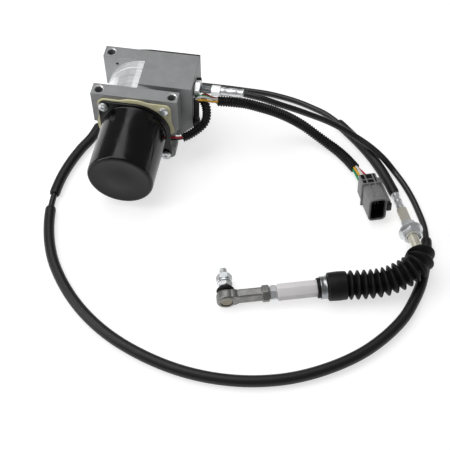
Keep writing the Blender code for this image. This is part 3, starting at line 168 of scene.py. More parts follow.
def lathe(profile, start, aim, steps, loop=False):
    # Profile points are (radius, height); spun about aim. A loop closes the profile for a ring.
    made = bmesh.new()
    points = [made.verts.new((max(r, 0) * mm, 0, h * mm)) for r, h in profile]
    edges = [made.edges.new(pair) for pair in zip(points, points[1:])]
    if loop:
        edges.append(made.edges.new((points[-1], points[0])))
    bmesh.ops.spin(made, geom=points + edges, cent=(0, 0, 0), axis=(0, 0, 1), angle=2 * pi, steps=steps,
                   use_merge=True)
    bmesh.ops.remove_doubles(made, verts=made.verts, dist=0.000002)
    bmesh.ops.transform(made, matrix=standing(start, aim), verts=made.verts)
    return meshFrom(made, "turned")


def bored(mesh, side, start, aim, steps=40):
    # A mesh with a turned hole; side is the hole's wall as (radius, height) from end to end.
    hole = [(0, side[0][1])] + side + [(0, side[-1][1])]
    return boolean(mesh, lathe(hole, start, aim, steps), "DIFFERENCE")


def hexPrism(across, low, high, start, aim, spin, chamfer, both=True):
    # Hexagon bar with the turned chamfers of a nut at both ends, or at the upper one only.
    corner, flat = across / sqrt(3), across / 2
    made = bmesh.new()
    bmesh.ops.create_cone(made, cap_ends=True, segments=6, radius1=corner * mm, radius2=corner * mm,
                          depth=(high - low) * mm)
    bmesh.ops.translate(made, verts=made.verts, vec=(0, 0, (low + high) / 2 * mm))
    bmesh.ops.transform(made, matrix=standing(start, aim, spin), verts=made.verts)
    clear = corner + 0.3
    if both:
        turned = [(0, low), (flat * 0.96, low), (clear, low + chamfer)]
    else:
        turned = [(0, low - 1), (clear, low - 1)]
    turned += [(clear, high - chamfer), (flat * 0.96, high), (0, high)]
    return boolean(meshFrom(made, "hexagon"), lathe(turned, start, aim, 48), "INTERSECT")


def boxMesh(low, high, matrix, corner=0, segments=1):
    made = bmesh.new()
    bmesh.ops.create_cube(made, size=1)
    bmesh.ops.scale(made, vec=(Vector(high) - Vector(low)) * mm, verts=made.verts)
    bmesh.ops.translate(made, vec=(Vector(high) + Vector(low)) / 2 * mm, verts=made.verts)
    mesh = meshFrom(made, "block")
    if corner:
        mesh = softened(mesh, corner, segments)
    mesh.transform(matrix)
    return mesh


def outlineMesh(loop, front, back):
    # A flat outline in the XZ plane drawn out along Y.
    made = bmesh.new()
    face = made.faces.new([made.verts.new(place((x, front, z))) for x, z in loop])
    out = bmesh.ops.extrude_face_region(made, geom=[face])
    moved = [v for v in out["geom"] if isinstance(v, bmesh.types.BMVert)]
    bmesh.ops.translate(made, verts=moved, vec=(0, (back - front) * mm, 0))
    return meshFrom(made, "plate")


# Lines and what is swept along them

def lineLength(line):
    return sum((b - a).length for a, b in zip(line, line[1:]))


def curved(points, steps):
    # Catmull-Rom curve through the points, with so many steps from each to the next.
    points = [points[0] * 2 - points[1]] + points + [points[-1] * 2 - points[-2]]
    dense = []
    for a, b, c, d in zip(points, points[1:], points[2:], points[3:]):
        for step in range(steps):
            t = step / steps
            dense.append(0.5 * (2 * b + (c - a) * t + (2 * a - 5 * b + 4 * c - d) * t * t
                                + (3 * b - a - 3 * c + d) * t * t * t))
    return dense + [points[-2]]


def evenly(line, count):
    # The same line as so many points at even distances.
    reach = [0]
    for a, b in zip(line, line[1:]):
        reach.append(reach[-1] + (b - a).length)
    even, index = [], 0
    for number in range(count):
        target = reach[-1] * number / (count - 1)
        while index < len(reach) - 2 and reach[index + 1] < target:
            index += 1
        share = (target - reach[index]) / (reach[index + 1] - reach[index])
        even.append(line[index].lerp(line[index + 1], min(share, 1)))
    return even


def smoothLine(route, count):
    # Stations on a smooth curve through a route's points, in metres.
    return evenly(curved([place(point) for point in route], 16), count)


def finer(line, spacing):
    # The same line with its points so many metres apart.
    return evenly(line, max(round(lineLength(line) / spacing), 2) + 1)


def rounder(points, spacing):
    return finer(curved(points, 8), spacing)


def relaxed(line, times):
    # Evens out kinks, with both ends kept.
    for _ in range(times):
        line = [line[0]] + [(a + b * 2 + c) / 4 for a, b, c in zip(line, line[1:], line[2:])] + [line[-1]]
    return line


def straight(start, aim, near, far, spacing):
    aim = Vector(aim).normalized()
    first, last = place(start) + aim * near * mm, place(start) + aim * far * mm
    count = max(int((last - first).length / (spacing * mm)), 2)
    return [first.lerp(last, i / count) for i in range(count + 1)]


def wayAt(line, index):
    return (line[min(index + 1, len(line) - 1)] - line[max(index - 1, 0)]).normalized()


def addStrip(made, first, second):
    # Four-sided faces from one ring of points to the next.
    for k in range(len(first)):
        after = (k + 1) % len(first)
        made.faces.new((first[k], first[after], second[after], second[k]))


def sweep(line, radius, sides, bore=None):
    # A rod along a line, or a tube where a bore is given. Either radius is a number in metres or a
    # function of (distance, turn).
    radiusAt = radius if callable(radius) else (lambda s, turn: radius)
    boreAt = bore if callable(bore) else (lambda s, turn: bore)
    made = bmesh.new()
    normal = (line[1] - line[0]).orthogonal().normalized()
    reach, rings, inner = 0, [], []
    for index, point in enumerate(line):
        ahead = wayAt(line, index)
        normal = (normal - ahead * normal.dot(ahead)).normalized()
        across = ahead.cross(normal)
        if index:
            reach += (point - line[index - 1]).length
        ring, hole = [], []
        for k in range(sides):
            turn = 2 * pi * k / sides
            way = normal * cos(turn) + across * sin(turn)
            ring.append(made.verts.new(point + way * radiusAt(reach, turn)))
            if bore:
                hole.append(made.verts.new(point + way * boreAt(reach, turn)))
        rings.append(ring)
        inner.append(hole)
    for a, b in zip(rings, rings[1:]):
        addStrip(made, a, b)
    if bore:
        for a, b in zip(inner, inner[1:]):
            addStrip(made, b, a)
        addStrip(made, rings[0], inner[0])
        addStrip(made, rings[-1], inner[-1])
    else:
        made.faces.new(rings[0])
        made.faces.new(rings[-1])
    return meshFrom(made, "swept")


def threadRadius(r, pitch, depth, length, chamfer=1.0):
    # Screw thread: the radius winds with the turn, and runs out to the root at the free end.
    def radiusAt(s, turn):
        wave = abs(((s / mm / pitch - turn / (2 * pi)) % 1) * 2 - 1)
        size = r - depth * wave
        left = length - s / mm
        if left < chamfer:
            size = min(size, r - depth - (chamfer - left) * 0.6 + 0.2)
        return size * mm
    return radiusAt


# Finishes

def newPaint(name):
    paint = bpy.data.materials.new(name)
    paint.use_nodes = True
    nodes = paint.node_tree.nodes
    return paint, nodes, paint.node_tree.links, nodes["Principled BSDF"]


def feed(links, socket, value):
    # Links a socket to another node's value, or sets it to a colour or a number.
    if isinstance(value, bpy.types.NodeSocket):
        links.new(value, socket)
    elif isinstance(value, tuple):
        socket.default_value = (*value, 1)
    else:
        socket.default_value = value


def arithmetic(nodes, links, operation, first, second):
    step = nodes.new("ShaderNodeMath")
    step.operation = operation
    feed(links, step.inputs[0], first)
    feed(links, step.inputs[1], second)
    return step.outputs["Value"]


def mixed(nodes, links, kind, factor, first, second):
    # Mixes two colours (kind RGBA) or two plain values (kind FLOAT).
    mix = nodes.new("ShaderNodeMix")
    mix.data_type = kind
    feed(links, mix.inputs["Factor"], factor)
    feed(links, mix.inputs["A"], first)
    feed(links, mix.inputs["B"], second)
    return mix.outputs["Result"]


def spread(nodes, links, value, low, high, toLow, toHigh):
    ramp = nodes.new("ShaderNodeMapRange")
    for key, number in (("From Min", low), ("From Max", high), ("To Min", toLow), ("To Max", toHigh)):
        ramp.inputs[key].default_value = number
    links.new(value, ramp.inputs["Value"])
    return ramp.outputs["Result"]


def modelAxes(nodes, links):
    # The model's own X, Y and Z at a point of the surface.
    coords = nodes.new("ShaderNodeTexCoord")
    split = nodes.new("ShaderNodeSeparateXYZ")
    links.new(coords.outputs["Object"], split.inputs["Vector"])
    return [split.outputs[axis] for axis in "XYZ"]


def speckle(nodes, links, scale, detail, rough=0.5, squeeze=(1, 1, 1)):
    # Noise in the model's own coordinates; it is drawn out along each axis whose squeeze is small.
    coords = nodes.new("ShaderNodeTexCoord")
    mapping = nodes.new("ShaderNodeMapping")
    noise = nodes.new("ShaderNodeTexNoise")
    mapping.inputs["Scale"].default_value = squeeze
    noise.inputs["Scale"].default_value = scale
    noise.inputs["Detail"].default_value = detail
    noise.inputs["Roughness"].default_value = rough
    links.new(coords.outputs["Object"], mapping.inputs["Vector"])
    links.new(mapping.outputs["Vector"], noise.inputs["Vector"])
    return noise.outputs["Fac"]


def addRelief(nodes, links, shader, heights, edge=0):
    # Fine bumps, each (value, depth in mm); edge rounds the corners in the shading.
    last = None
    if edge:
        corner = nodes.new("ShaderNodeBevel")
        corner.samples = 4
        corner.inputs["Radius"].default_value = edge * mm
        last = corner.outputs["Normal"]
    for value, depth in heights:
        bump = nodes.new("ShaderNodeBump")
        bump.inputs["Distance"].default_value = depth * mm
        bump.inputs["Strength"].default_value = 1
        links.new(value, bump.inputs["Height"])
        if last:
            links.new(last, bump.inputs["Normal"])
        last = bump.outputs["Normal"]
    links.new(last, shader.inputs["Normal"])


def simpleFinish(name, first, second, rough, blotch, grain, metallic=0, edge=0, specular=0.5):
    # Two close colours in soft blotches, roughness from low to high, and a grain as (fineness, depth in mm).
    paint, nodes, links, shader = newPaint(name)
    patches = speckle(nodes, links, blotch, 3)
    fine = speckle(nodes, links, grain[0], 5, 0.6)
    tone = spread(nodes, links, patches, 0.35, 0.65, 0, 1)
    links.new(mixed(nodes, links, "RGBA", tone, first, second), shader.inputs["Base Color"])
    links.new(spread(nodes, links, fine, 0.3, 0.7, *rough), shader.inputs["Roughness"])
    shader.inputs["Metallic"].default_value = metallic
    shader.inputs["Specular IOR Level"].default_value = specular
    addRelief(nodes, links, shader, [(fine, grain[1])], edge)
    return paint


# The turned colours are much lighter than the cast skin: partly the machined metal's own colour, partly a
# painted highlight on the barrel and round the bolt holes.
castLook = {"barrel": (15, 55), "barrelSide": (-0.4, 0.2), "blur": 0.4, "squeeze": (0.03, 1, 0.03),
            "holes": [(-37.1, 7.5), (37.1, 7.5), (-37.1, 62.5)], "spotFaceAndHighlight": (4.9, 5.4), "top": (81.7, 81.9),
            "skin": [(0.3, 0.304, 0.308), (0.34, 0.344, 0.35)],
            "turned": [(0.88, 0.89, 0.9), (0.95, 0.96, 0.97)]}


def machinedAndHighlitPlaces(nodes, links):
    # 1 where the casting is painted light: the turned barrel and the spot faces round the bolt holes, each
    #                                       partly a machined finish and partly a painted highlight.
    x, y, z = modelAxes(nodes, links)
    low, high = [(edge + shiftY) * mm for edge in castLook["barrel"]]
    blur = castLook["blur"] * mm
    between = arithmetic(nodes, links, "MULTIPLY", spread(nodes, links, y, low - blur, low + blur, 0, 1),
                         spread(nodes, links, y, high - blur, high + blur, 1, 0))
    side = [(edge + shiftX) * mm for edge in castLook["barrelSide"]]
    barrel = arithmetic(nodes, links, "MULTIPLY", between, spread(nodes, links, x, *side, 1, 0))
    flat = nodes.new("ShaderNodeCombineXYZ")
    links.new(x, flat.inputs["X"])
    links.new(y, flat.inputs["Y"])
    nearest = 1.0  # metre, farther than any hole
    for holeX, holeY in castLook["holes"]:
        away = nodes.new("ShaderNodeVectorMath")
        away.operation = "DISTANCE"
        away.inputs[1].default_value = place((holeX, holeY, 0))
        links.new(flat.outputs["Vector"], away.inputs[0])
        nearest = arithmetic(nodes, links, "MINIMUM", nearest, away.outputs["Value"])
    # Painted highlight: a light ring round each bolt hole on the top face, partly a machined spot face.
    inner, outer = castLook["spotFaceAndHighlight"]
    under, over = castLook["top"]
    ring = arithmetic(nodes, links, "MULTIPLY", spread(nodes, links, nearest, inner * mm, outer * mm, 1, 0),
                      spread(nodes, links, z, under * mm, over * mm, 0, 1))
    return arithmetic(nodes, links, "MAXIMUM", ring, barrel)


def castAluminium():
    # Sand-cast grey, and bright turned metal with fine lines that run round the barrel; the turned metal's
    # light colour is partly its machined finish and partly a painted highlight.
    paint, nodes, links, shader = newPaint("castAluminium")
    machinedAndHighlit = machinedAndHighlitPlaces(nodes, links)
    cast = speckle(nodes, links, 90, 5)
    grit = speckle(nodes, links, 1500, 3, 0.7)
    dimple = speckle(nodes, links, 420, 2)
    streak = speckle(nodes, links, 900, 4, 0.6, castLook["squeeze"])
    skin = mixed(nodes, links, "RGBA", spread(nodes, links, cast, 0.35, 0.68, 0, 1), *castLook["skin"])
    # Painted highlight: the turned colours lighten the barrel and the hole rings beyond the machined metal's
    # own tone.
    turned = mixed(nodes, links, "RGBA", spread(nodes, links, streak, 0.35, 0.65, 0, 1), *castLook["turned"])
    links.new(mixed(nodes, links, "RGBA", machinedAndHighlit, skin, turned), shader.inputs["Base Color"])
    rough = mixed(nodes, links, "FLOAT", machinedAndHighlit, spread(nodes, links, grit, 0.3, 0.7, 0.42, 0.58),
                  spread(nodes, links, streak, 0.3, 0.7, 0.22, 0.4))
    links.new(rough, shader.inputs["Roughness"])
    links.new(spread(nodes, links, machinedAndHighlit, 0, 1, 0.35, 0.6), shader.inputs["Metallic"])
    addRelief(nodes, links, shader, [(grit, 0.05), (dimple, 0.06)], 0.7)
    return paint


paintLook = {"end": (-72.7, -72.2), "side": (0.004, 0.004, 0.0045), "endColour": (0.009, 0.009, 0.0095),
             "rough": (0.12, 0.24), "endRough": 0.5, "specular": 0.32, "peel": 0.012}


def motorPaint():
    # Gloss black on the side, duller and greyer on the closed end.
    paint, nodes, links, shader = newPaint("motorPaint")
    y = modelAxes(nodes, links)[1]
    end = spread(nodes, links, y, *[(edge + shiftY) * mm for edge in paintLook["end"]], 1, 0)
    colour = mixed(nodes, links, "RGBA", end, paintLook["side"], paintLook["endColour"])
    links.new(colour, shader.inputs["Base Color"])
    haze = speckle(nodes, links, 70, 4)
    peel = speckle(nodes, links, 700, 2)
    gloss = spread(nodes, links, haze, 0.35, 0.65, *paintLook["rough"])
    links.new(mixed(nodes, links, "FLOAT", end, gloss, paintLook["endRough"]), shader.inputs["Roughness"])
    shader.inputs["Specular IOR Level"].default_value = paintLook["specular"]
    addRelief(nodes, links, shader, [(peel, paintLook["peel"])])
    return paint


zincFinish = simpleFinish("zincPlate", (0.86, 0.875, 0.88), (0.8, 0.825, 0.845), (0.26, 0.36), 130,
                          (1400, 0.002), metallic=0.72, edge=0.15)
dullZinc = simpleFinish("dullZinc", (0.42, 0.43, 0.43), (0.32, 0.34, 0.36), (0.24, 0.38), 160, (1200, 0.01),
                        metallic=1, edge=0.15)
yellowZinc = simpleFinish("yellowZinc", (0.9, 0.87, 0.74), (0.87, 0.84, 0.73), (0.28, 0.31), 150,
                          (1400, 0.001), metallic=0.55, edge=0.15)
castFinish = castAluminium()
paintFinish = motorPaint()
gasketFinish = simpleFinish("sealant", (0.8, 0.76, 0.47), (0.87, 0.83, 0.56), (0.45, 0.65), 160, (900, 0.03))
conduitFinish = simpleFinish("conduitJacket", (0.006, 0.006, 0.0065), (0.009, 0.009, 0.01), (0.3, 0.42), 60,
                             (900, 0.012), specular=0.55)
sleeveFinish = simpleFinish("sleeveRubber", (0.007, 0.007, 0.0075), (0.011, 0.011, 0.0115), (0.38, 0.52), 50,
                            (700, 0.02), specular=0.4)
loomFinish = simpleFinish("loomPlastic", (0.005, 0.005, 0.005), (0.008, 0.008, 0.008), (0.34, 0.5), 90,
                          (900, 0.012), specular=0.3)
bellowsFinish = simpleFinish("bellowsRubber", (0.006, 0.006, 0.006), (0.011, 0.011, 0.011), (0.42, 0.6), 110,
                             (1100, 0.025), specular=0.22)
rubberFinish = simpleFinish("blackRubber", (0.008, 0.008, 0.008), (0.013, 0.013, 0.013), (0.5, 0.65), 120,
                            (1000, 0.02), specular=0.3)
blackFinish = simpleFinish("blackPlastic", (0.007, 0.007, 0.008), (0.012, 0.012, 0.013), (0.35, 0.5), 120,
                           (1000, 0.015), edge=0.2, specular=0.3)
shellFinish = simpleFinish("connectorGrey", (0.2, 0.202, 0.2), (0.245, 0.247, 0.245), (0.42, 0.58), 140,
                           (1300, 0.02), edge=0.2)
rodEndFinish = simpleFinish("forgedSteel", (0.21, 0.208, 0.2), (0.3, 0.298, 0.29), (0.36, 0.52), 150,
                            (900, 0.05), metallic=0.75)
creamFinish = simpleFinish("creamPlastic", (0.7, 0.65, 0.5), (0.62, 0.57, 0.42), (0.4, 0.5), 250,
                           (1200, 0.01))
gearFinish = simpleFinish("gearSteel", (0.36, 0.37, 0.39), (0.3, 0.31, 0.33), (0.25, 0.4), 160, (1400, 0.01),
                          metallic=1)
bearingFinish = simpleFinish("bearingSteel", (0.6, 0.61, 0.63), (0.52, 0.53, 0.55), (0.15, 0.28), 160,
                             (1500, 0.006), metallic=1)
ferriteFinish = simpleFinish("ferrite", (0.05, 0.05, 0.055), (0.075, 0.075, 0.08), (0.5, 0.7), 160,
                             (1200, 0.03), metallic=0.1)
copperFinish = simpleFinish("copper", (0.76, 0.38, 0.22), (0.62, 0.3, 0.17), (0.25, 0.42), 180, (1400, 0.01),
                            metallic=1)
coverFinish = simpleFinish("coverPaint", (0.006, 0.006, 0.007), (0.011, 0.011, 0.012), (0.32, 0.46), 90,
                           (900, 0.02), metallic=0.1, edge=0.4, specular=0.3)
rodFinish = simpleFinish("drawnBar", (0.96, 0.935, 0.94), (0.93, 0.9, 0.908), (0.3, 0.42), 90, (1500, 0.006),
                         metallic=0.08, edge=0.3)
wireColours = {"wire_green": ("greenWire", (0.015, 0.3, 0.11), (0.02, 0.36, 0.14)),
               "wire_yellow": ("yellowWire", (0.85, 0.42, 0.03), (0.9, 0.5, 0.05)),
               "wire_white": ("whiteWire", (0.78, 0.78, 0.75), (0.85, 0.85, 0.83)),
               "wire_red": ("redWire", (0.62, 0.02, 0.035), (0.7, 0.035, 0.05)),
               "wire_black": ("blackWire", (0.012, 0.012, 0.012), (0.02, 0.02, 0.02))}
wireFinish = {node: simpleFinish(*colours, (0.25, 0.35), 200, (1200, 0.005))
              for node, colours in wireColours.items()}
print("finishes made")


# Control cable and its sleeves; a sleeve runs from one share of the cable's length to another
cable = {
    "route": [(105.6, 37, 69), (118, 36.4, 68), (132, 34.8, 65.2), (160, 36, 56), (180, 39.6, 45.5),
              (197, 42.4, 36), (215, 41.8, 26.5), (230, 38.2, 20), (243, 31.2, 17), (254, 24.6, 12.6),
              (262.4, 18.6, 7.6), (269.4, 12.4, 4.2), (277, 2, 3.4), (285, -12, 3.4), (293, -30, 3.4),
              (299.5, -49, 4), (302.4, -62, 5.5), (303, -76, 5.5), (303.2, -90, 5.5), (302, -106, 5.5),
              (299, -125, 5.5),
              (293, -144, 5.5), (281.5, -168.5, 5.5), (258, -197.5, 5.5), (230.5, -219.5, 5.5),
              (196.5, -237.5, 5.5), (162.5, -247.5, 5.5), (128.5, -251, 5.5), (93, -248.5, 5.5),
              (56, -239, 5.5), (20, -223, 5.5), (-11, -201, 5.5), (-36, -174.5, 5.5), (-55, -145, 5.5),
              (-67, -112, 5.5), (-71.5, -86, 5.5), (-72.5, -66, 5.5), (-69.3, -37, 5.5), (-61.8, -9.7, 5.5),
              (-53, 13, 5.5), (-49.4, 34, 5.5), (-47.6, 56, 4.2), (-41.4, 77, 3.4), (-27, 93, 3.4),
              (-4, 102, 3.4),
              (32, 107.5, 3.4), (71, 108.5, 3.4), (97, 108, 3.4), (126, 106.6, 3.4), (156.5, 100, 3.4),
              (178, 91, 4), (196, 80, 5.5), (209.5, 67.5, 5.5), (222.5, 54.3, 5.5), (236, 39, 5.5),
              (249.5, 20.6, 5.5), (261.5, -0.5, 5.5), (269.4, -16.6, 5.7)],
    "points": 76, "radius": 3.15, "sleeves": [(0.2, 0.6068), (0.6195, 0.6933), (0.92, 1)],
    "sleeveRadius": 5.35, "sleeveWall": 1.8, "rimLength": 1.2, "rimDrop": 0.5}


def makeSleeve(run, number):
    long = lineLength(run)

    def radiusAt(s, turn):
        edge = min(s, long - s) / mm
        return (cable["sleeveRadius"] - cable["rimDrop"] * max(0, 1 - edge / cable["rimLength"]) ** 2) * mm
    mesh = sweep(run, radiusAt, 24, bore=(cable["sleeveRadius"] - cable["sleeveWall"]) * mm)
    return newPiece("cableSleeve%d" % number, mesh, sleeveFinish, "body", "cable_sleeve_%d" % number,
                    60)


def makeCable():
    line = rounder(smoothLine(cable["route"], cable["points"]), 3 * mm)
    conduit = newPiece("cableConduit", sweep(line, cable["radius"] * mm, 20), conduitFinish, "body",
                       "cable_conduit")
    sleeves, last = [], len(line) - 1
    for number, (start, end) in enumerate(cable["sleeves"], 1):
        run = rounder(line[round(start * last):round(end * last) + 1], 2 * mm)
        sleeves.append(makeSleeve(run, number))
    return conduit, sleeves, line


conduit, sleeves, cableLine = makeCable()
print("cable made, length %.3f m" % lineLength(cableLine))


# Bellows: mouth on the tube, folds, cuff, and the neck under the clamp
bellows = {
    "route": [(293.6, -96.6, 22.6), (295.0, -105.4, 24.2),
              (292.6, -113.2, 23.8), (286.6, -119.8, 22.1), (278, -126, 19.8), (268.2, -131.3, 17.4),
              (256.8, -135.2, 15.5), (243, -138.4, 14.7), (229.2, -141.1, 14.4), (211.8, -145.5, 13.7),
              (202.4, -147.95, 13.2)],
    "mouth": 7, "flare": 3, "outer": 14, "root": 9.1, "folds": 13, "cuff": 13.8, "cuffLength": 19,
    "cuffWaist": 0.35, "neck": 9.7, "neckLength": 9.6, "wall": 1.2, "leastBore": 5.6, "cuffBore": 8.45}


def makeBellows():
    line = rounder(smoothLine(bellows["route"], 60), 0.45 * mm)
    long = lineLength(line) / mm
    cuffEnd = long - bellows["neckLength"]
    foldEnd = cuffEnd - bellows["cuffLength"]
    flare, mouth, outer, root = bellows["flare"], bellows["mouth"], bellows["outer"], bellows["root"]
    pitch = (foldEnd - flare) / bellows["folds"]

    def radiusAt(s, turn):
        s = s / mm
        if s < flare:
            return (mouth + (root - mouth) * (s / flare) ** 0.7) * mm
        if s < foldEnd:
            wave = 0.5 - 0.5 * cos(2 * pi * ((s - flare) / pitch % 1))
            return (root + (outer - root) * wave ** 0.72) * mm
        if s < cuffEnd:
            edge = min(s - foldEnd, cuffEnd - s)
            waist = bellows["cuffWaist"] * (0.5 + 0.5 * cos(pi * min((s - foldEnd) / 9, 2)))
            return (bellows["cuff"] - waist - max(0, 1.6 - edge) ** 2 * 0.9) * mm
        return (bellows["neck"] - max(0, 0.6 - (long - s)) ** 2) * mm

    def boreAt(s, turn):
        if s / mm >= foldEnd:
            return bellows["cuffBore"] * mm
        inside = radiusAt(s, turn) - bellows["wall"] * mm
        return max(min(inside, (outer - 2) * mm), bellows["leastBore"] * mm)

    mesh = sweep(line, radiusAt, 48, bore=boreAt)
    piece = newPiece("rubberBellows", mesh, bellowsFinish, None, "bellows", 60)
    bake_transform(piece)


makeBellows()


# Far end of the cable: ferrule, threaded tube, collar, washer and nut, all at heights along one axis
far = {"start": (269.8, -17.6, 5.8), "aim": (0.283, -0.938, 0.200), "ferrule": 24.5, "ferruleRadius": 4,
       "grooveRadius": 3.55, "tube": 64, "hexagon": 20.5, "hexagonAcross": 9.6, "thread": 4.85, "pitch": 1.5,
       "threadDepth": 0.75, "collarAt": 45.6, "collarWidth": 7.4, "collarAcross": 13, "washerAt": 53.6,
       "washer": 2.2, "washerRadius": 9, "washerBore": 5.2, "nutAcross": 17, "nutWidth": 7.6, "nutBore": 5.15}


def makeFarFerrule():
    r, groove, long = far["ferruleRadius"], far["grooveRadius"], far["ferrule"]
    profile = [(0, 0), (3.3, 0)] + rounded(r, 0, 4, 0.4, 3) + [(groove, 4.6), (groove, 8.4)]
    profile += rounded(r, 9, 12.6, 0.35, 3) + [(groove, 13.2), (groove, 17)]
    profile += rounded(r, 17.6, long, 0.35, 3) + [(0, long)]
    mesh = lathe(profile, far["start"], far["aim"], 48)
    return newPiece("farFerrule", mesh, zincFinish, "body", "far_ferrule")


def makeFarTube():
    start, aim = far["start"], far["aim"]
    near = far["ferrule"] + 0.3
    threadFrom, end = near + far["hexagon"], near + far["tube"]
    plain = hexPrism(far["hexagonAcross"], near, threadFrom, start, aim, 14, 0.7)
    winding = threadRadius(far["thread"], far["pitch"], far["threadDepth"], end - threadFrom)
    screw = sweep(straight(start, aim, threadFrom, end, 0.25), winding, 40)
    tube = newPiece("farTube", merged([plain, screw]), yellowZinc, "body", "far_tube", 32)
    at = far["collarAt"]
    ring = hexPrism(far["collarAcross"], at, at + far["collarWidth"], start, aim, 4, 1.2)
    return [tube, newPiece("farCollar", ring, zincFinish, "body", "far_tube", 32)]


def makeFarWasher():
    r, bore, low = far["washerRadius"], far["washerBore"], far["washerAt"]
    high = low + far["washer"]
    profile = [(bore, low), (r - 0.1, low), (r, low + 0.2), (r, high - 0.2), (r - 0.2, high), (bore, high)]
    ring = lathe(profile, far["start"], far["aim"], 72, loop=True)
    return newPiece("splitWasher", ring, zincFinish, "body", "lock_washer")


def makeFlangeNut():
    start, aim, bore = far["start"], far["aim"], far["nutBore"]
    seat = far["washerAt"] + far["washer"] + 0.3
    skirt = [(0, seat), (11.6, seat), (12, seat + 0.35), (12, seat + 1.3), (11.4, seat + 1.7),
             (8.6, seat + 3.2), (8.2, seat + 4.2), (0, seat + 4.2)]
    top = seat + 1.3 + far["nutWidth"]
    hexagon = hexPrism(far["nutAcross"], seat + 1, top, start, aim, 12, 1.4, both=False)
    nut = boolean(hexagon, lathe(skirt, start, aim, 72), "UNION")
    nut = bored(nut, [(bore, seat - 1), (bore, seat + 8), (6, seat + 11.5)], start, aim)
    return newPiece("flangeNut", nut, zincFinish, "body", "flange_nut", 30)


farPieces = [makeFarFerrule(), *makeFarTube(), makeFarWasher(), makeFlangeNut()]


# Rod with its jam nut and the bellows' clamp; distances count from the ball along the rod
rod = {"ball": (120.2, -169.2, 9.4), "aim": (0.967, 0.250, 0.045), "collarAt": 33.4, "collarWidth": 7.2,
       "jamAcross": 13, "jamWidth": 6.3, "jamBore": 4.2, "length": 46, "across": 14, "thread": 4,
       "pitch": 1.25, "bandFromEnd": 3.2, "bandWidth": 6}


def makeJamNut(seat):
    low = seat + 0.3
    nut = hexPrism(rod["jamAcross"], low, low + rod["jamWidth"], rod["ball"], rod["aim"], 20, 1.3)
    nut = bored(nut, [(rod["jamBore"], seat - 2), (rod["jamBore"], seat + 12)], rod["ball"], rod["aim"])
    newPiece("jamNut", nut, zincFinish, "rod", "jam_nut", 30)


def makeRod():
    ball, aim = rod["ball"], rod["aim"]
    seat = rod["collarAt"] + rod["collarWidth"]
    makeJamNut(seat)
    start = seat + rod["jamWidth"] + 0.6
    bar = hexPrism(rod["across"], start, start + rod["length"], ball, aim, 8, 1.1)
    bar = softened(bar, 0.35, 2, 30)
    winding = threadRadius(rod["thread"], rod["pitch"], 0.6, 16, chamfer=0)
    stub = sweep(straight(ball, aim, start - 15, start + 0.5, 0.3), winding, 32)
    newPiece("hexagonRod", merged([bar, stub]), rodFinish, "rod", "adjuster_rod", 28)


def makeBand():
    along = Vector(rod["aim"]).normalized()
    at = (Vector(bellows["route"][-1]) - Vector(rod["ball"])).dot(along) + rod["bandFromEnd"]
    inner = bellows["neck"] + 0.3
    lower = [(0, 0), (1, 0), (1.15, 0.5), (0.75, 1)]
    upper = [(r, rod["bandWidth"] - height) for r, height in reversed(lower)]
    profile = [(inner + r, at + height) for r, height in lower + upper]
    band = lathe(profile, rod["ball"], rod["aim"], 72, loop=True)
    newPiece("bandClamp", band, dullZinc, "rod", "band_clamp", 50)


makeRod()
makeBand()


# Rod end: eye, flat waist and hexagon collar
rodEnd = {"eye": 9.3, "low": -6, "high": 4.2, "rim": 2.1, "waistFrom": 2, "waistAcross": (-4.6, 4.4),
          "waistUp": (-6.1, 6.3), "waistEdge": 1.6, "filletAt": 5.5, "fillet": 8, "across": 15,
          "voxel": 0.42, "relax": 5,
          "socket": [(6, -9), (6, -4.35), (4.3, -4.35), (4.3, 0), (4.1, 1.3), (3.6, 2.4), (3.6, 7)],
          "plug": [(0, -4.9), (3.2, -4.9), (4.4, -5.15), (5.3, -5.2), (5.6, -5), (5.6, -4.4), (0, -4.4)]}


def level():
    # Direction of the stud: square to the rod, and level.
    flat = Vector((rod["aim"][0], rod["aim"][1], 0)).normalized()
    return Vector((-flat.y, flat.x, 0))


def grownTogether(meshes):
    # Overlapping meshes made one skin by a fine remesh, which is then relaxed.
    thing = addObject("grown", merged(meshes))
    grow = thing.modifiers.new("grow", "REMESH")
    grow.mode = "VOXEL"
    grow.voxel_size = rodEnd["voxel"] * mm
    relax = thing.modifiers.new("relax", "SMOOTH")
    relax.factor = 0.5
    relax.iterations = rodEnd["relax"]
    return shaped(thing)


def makeRodEnd():
    ball, aim, side = rod["ball"], rod["aim"], level()
    low, high, fillet = rodEnd["low"], rodEnd["high"], rodEnd["fillet"]
    outline = [(0, low)] + rounded(rodEnd["eye"], low, high, rodEnd["rim"], 5) + [(0, high)]
    eye = lathe(outline, ball, side, 72)
    along = Vector(aim).normalized()
    axes = Matrix((along, side, along.cross(side))).transposed().to_4x4()
    at, (left, right), (bottom, top) = rod["collarAt"], rodEnd["waistAcross"], rodEnd["waistUp"]
    waist = boxMesh((rodEnd["waistFrom"], left, bottom), (at + 1, right, top),
                    Matrix.Translation(place(ball)) @ axes, rodEnd["waistEdge"], 3)
    blend = lathe([(0, left), (fillet, left), (fillet, 4), (0, 4)], Vector(ball) + along * rodEnd["filletAt"],
                  side, 48)
    collar = hexPrism(rodEnd["across"], at, at + rod["collarWidth"] - 0.2, ball, aim, 22, 1.1)
    mesh = bored(grownTogether([eye, waist, blend, collar]), rodEnd["socket"], ball, side, 48)
    newPiece("forgedRodEnd", mesh, rodEndFinish, "rod", "rod_end", 50)
    plug = lathe(rodEnd["plug"], ball, side, 48)
    newPiece("socketPlug", plug, creamFinish, "rod", "socket_plug")


makeRodEnd()


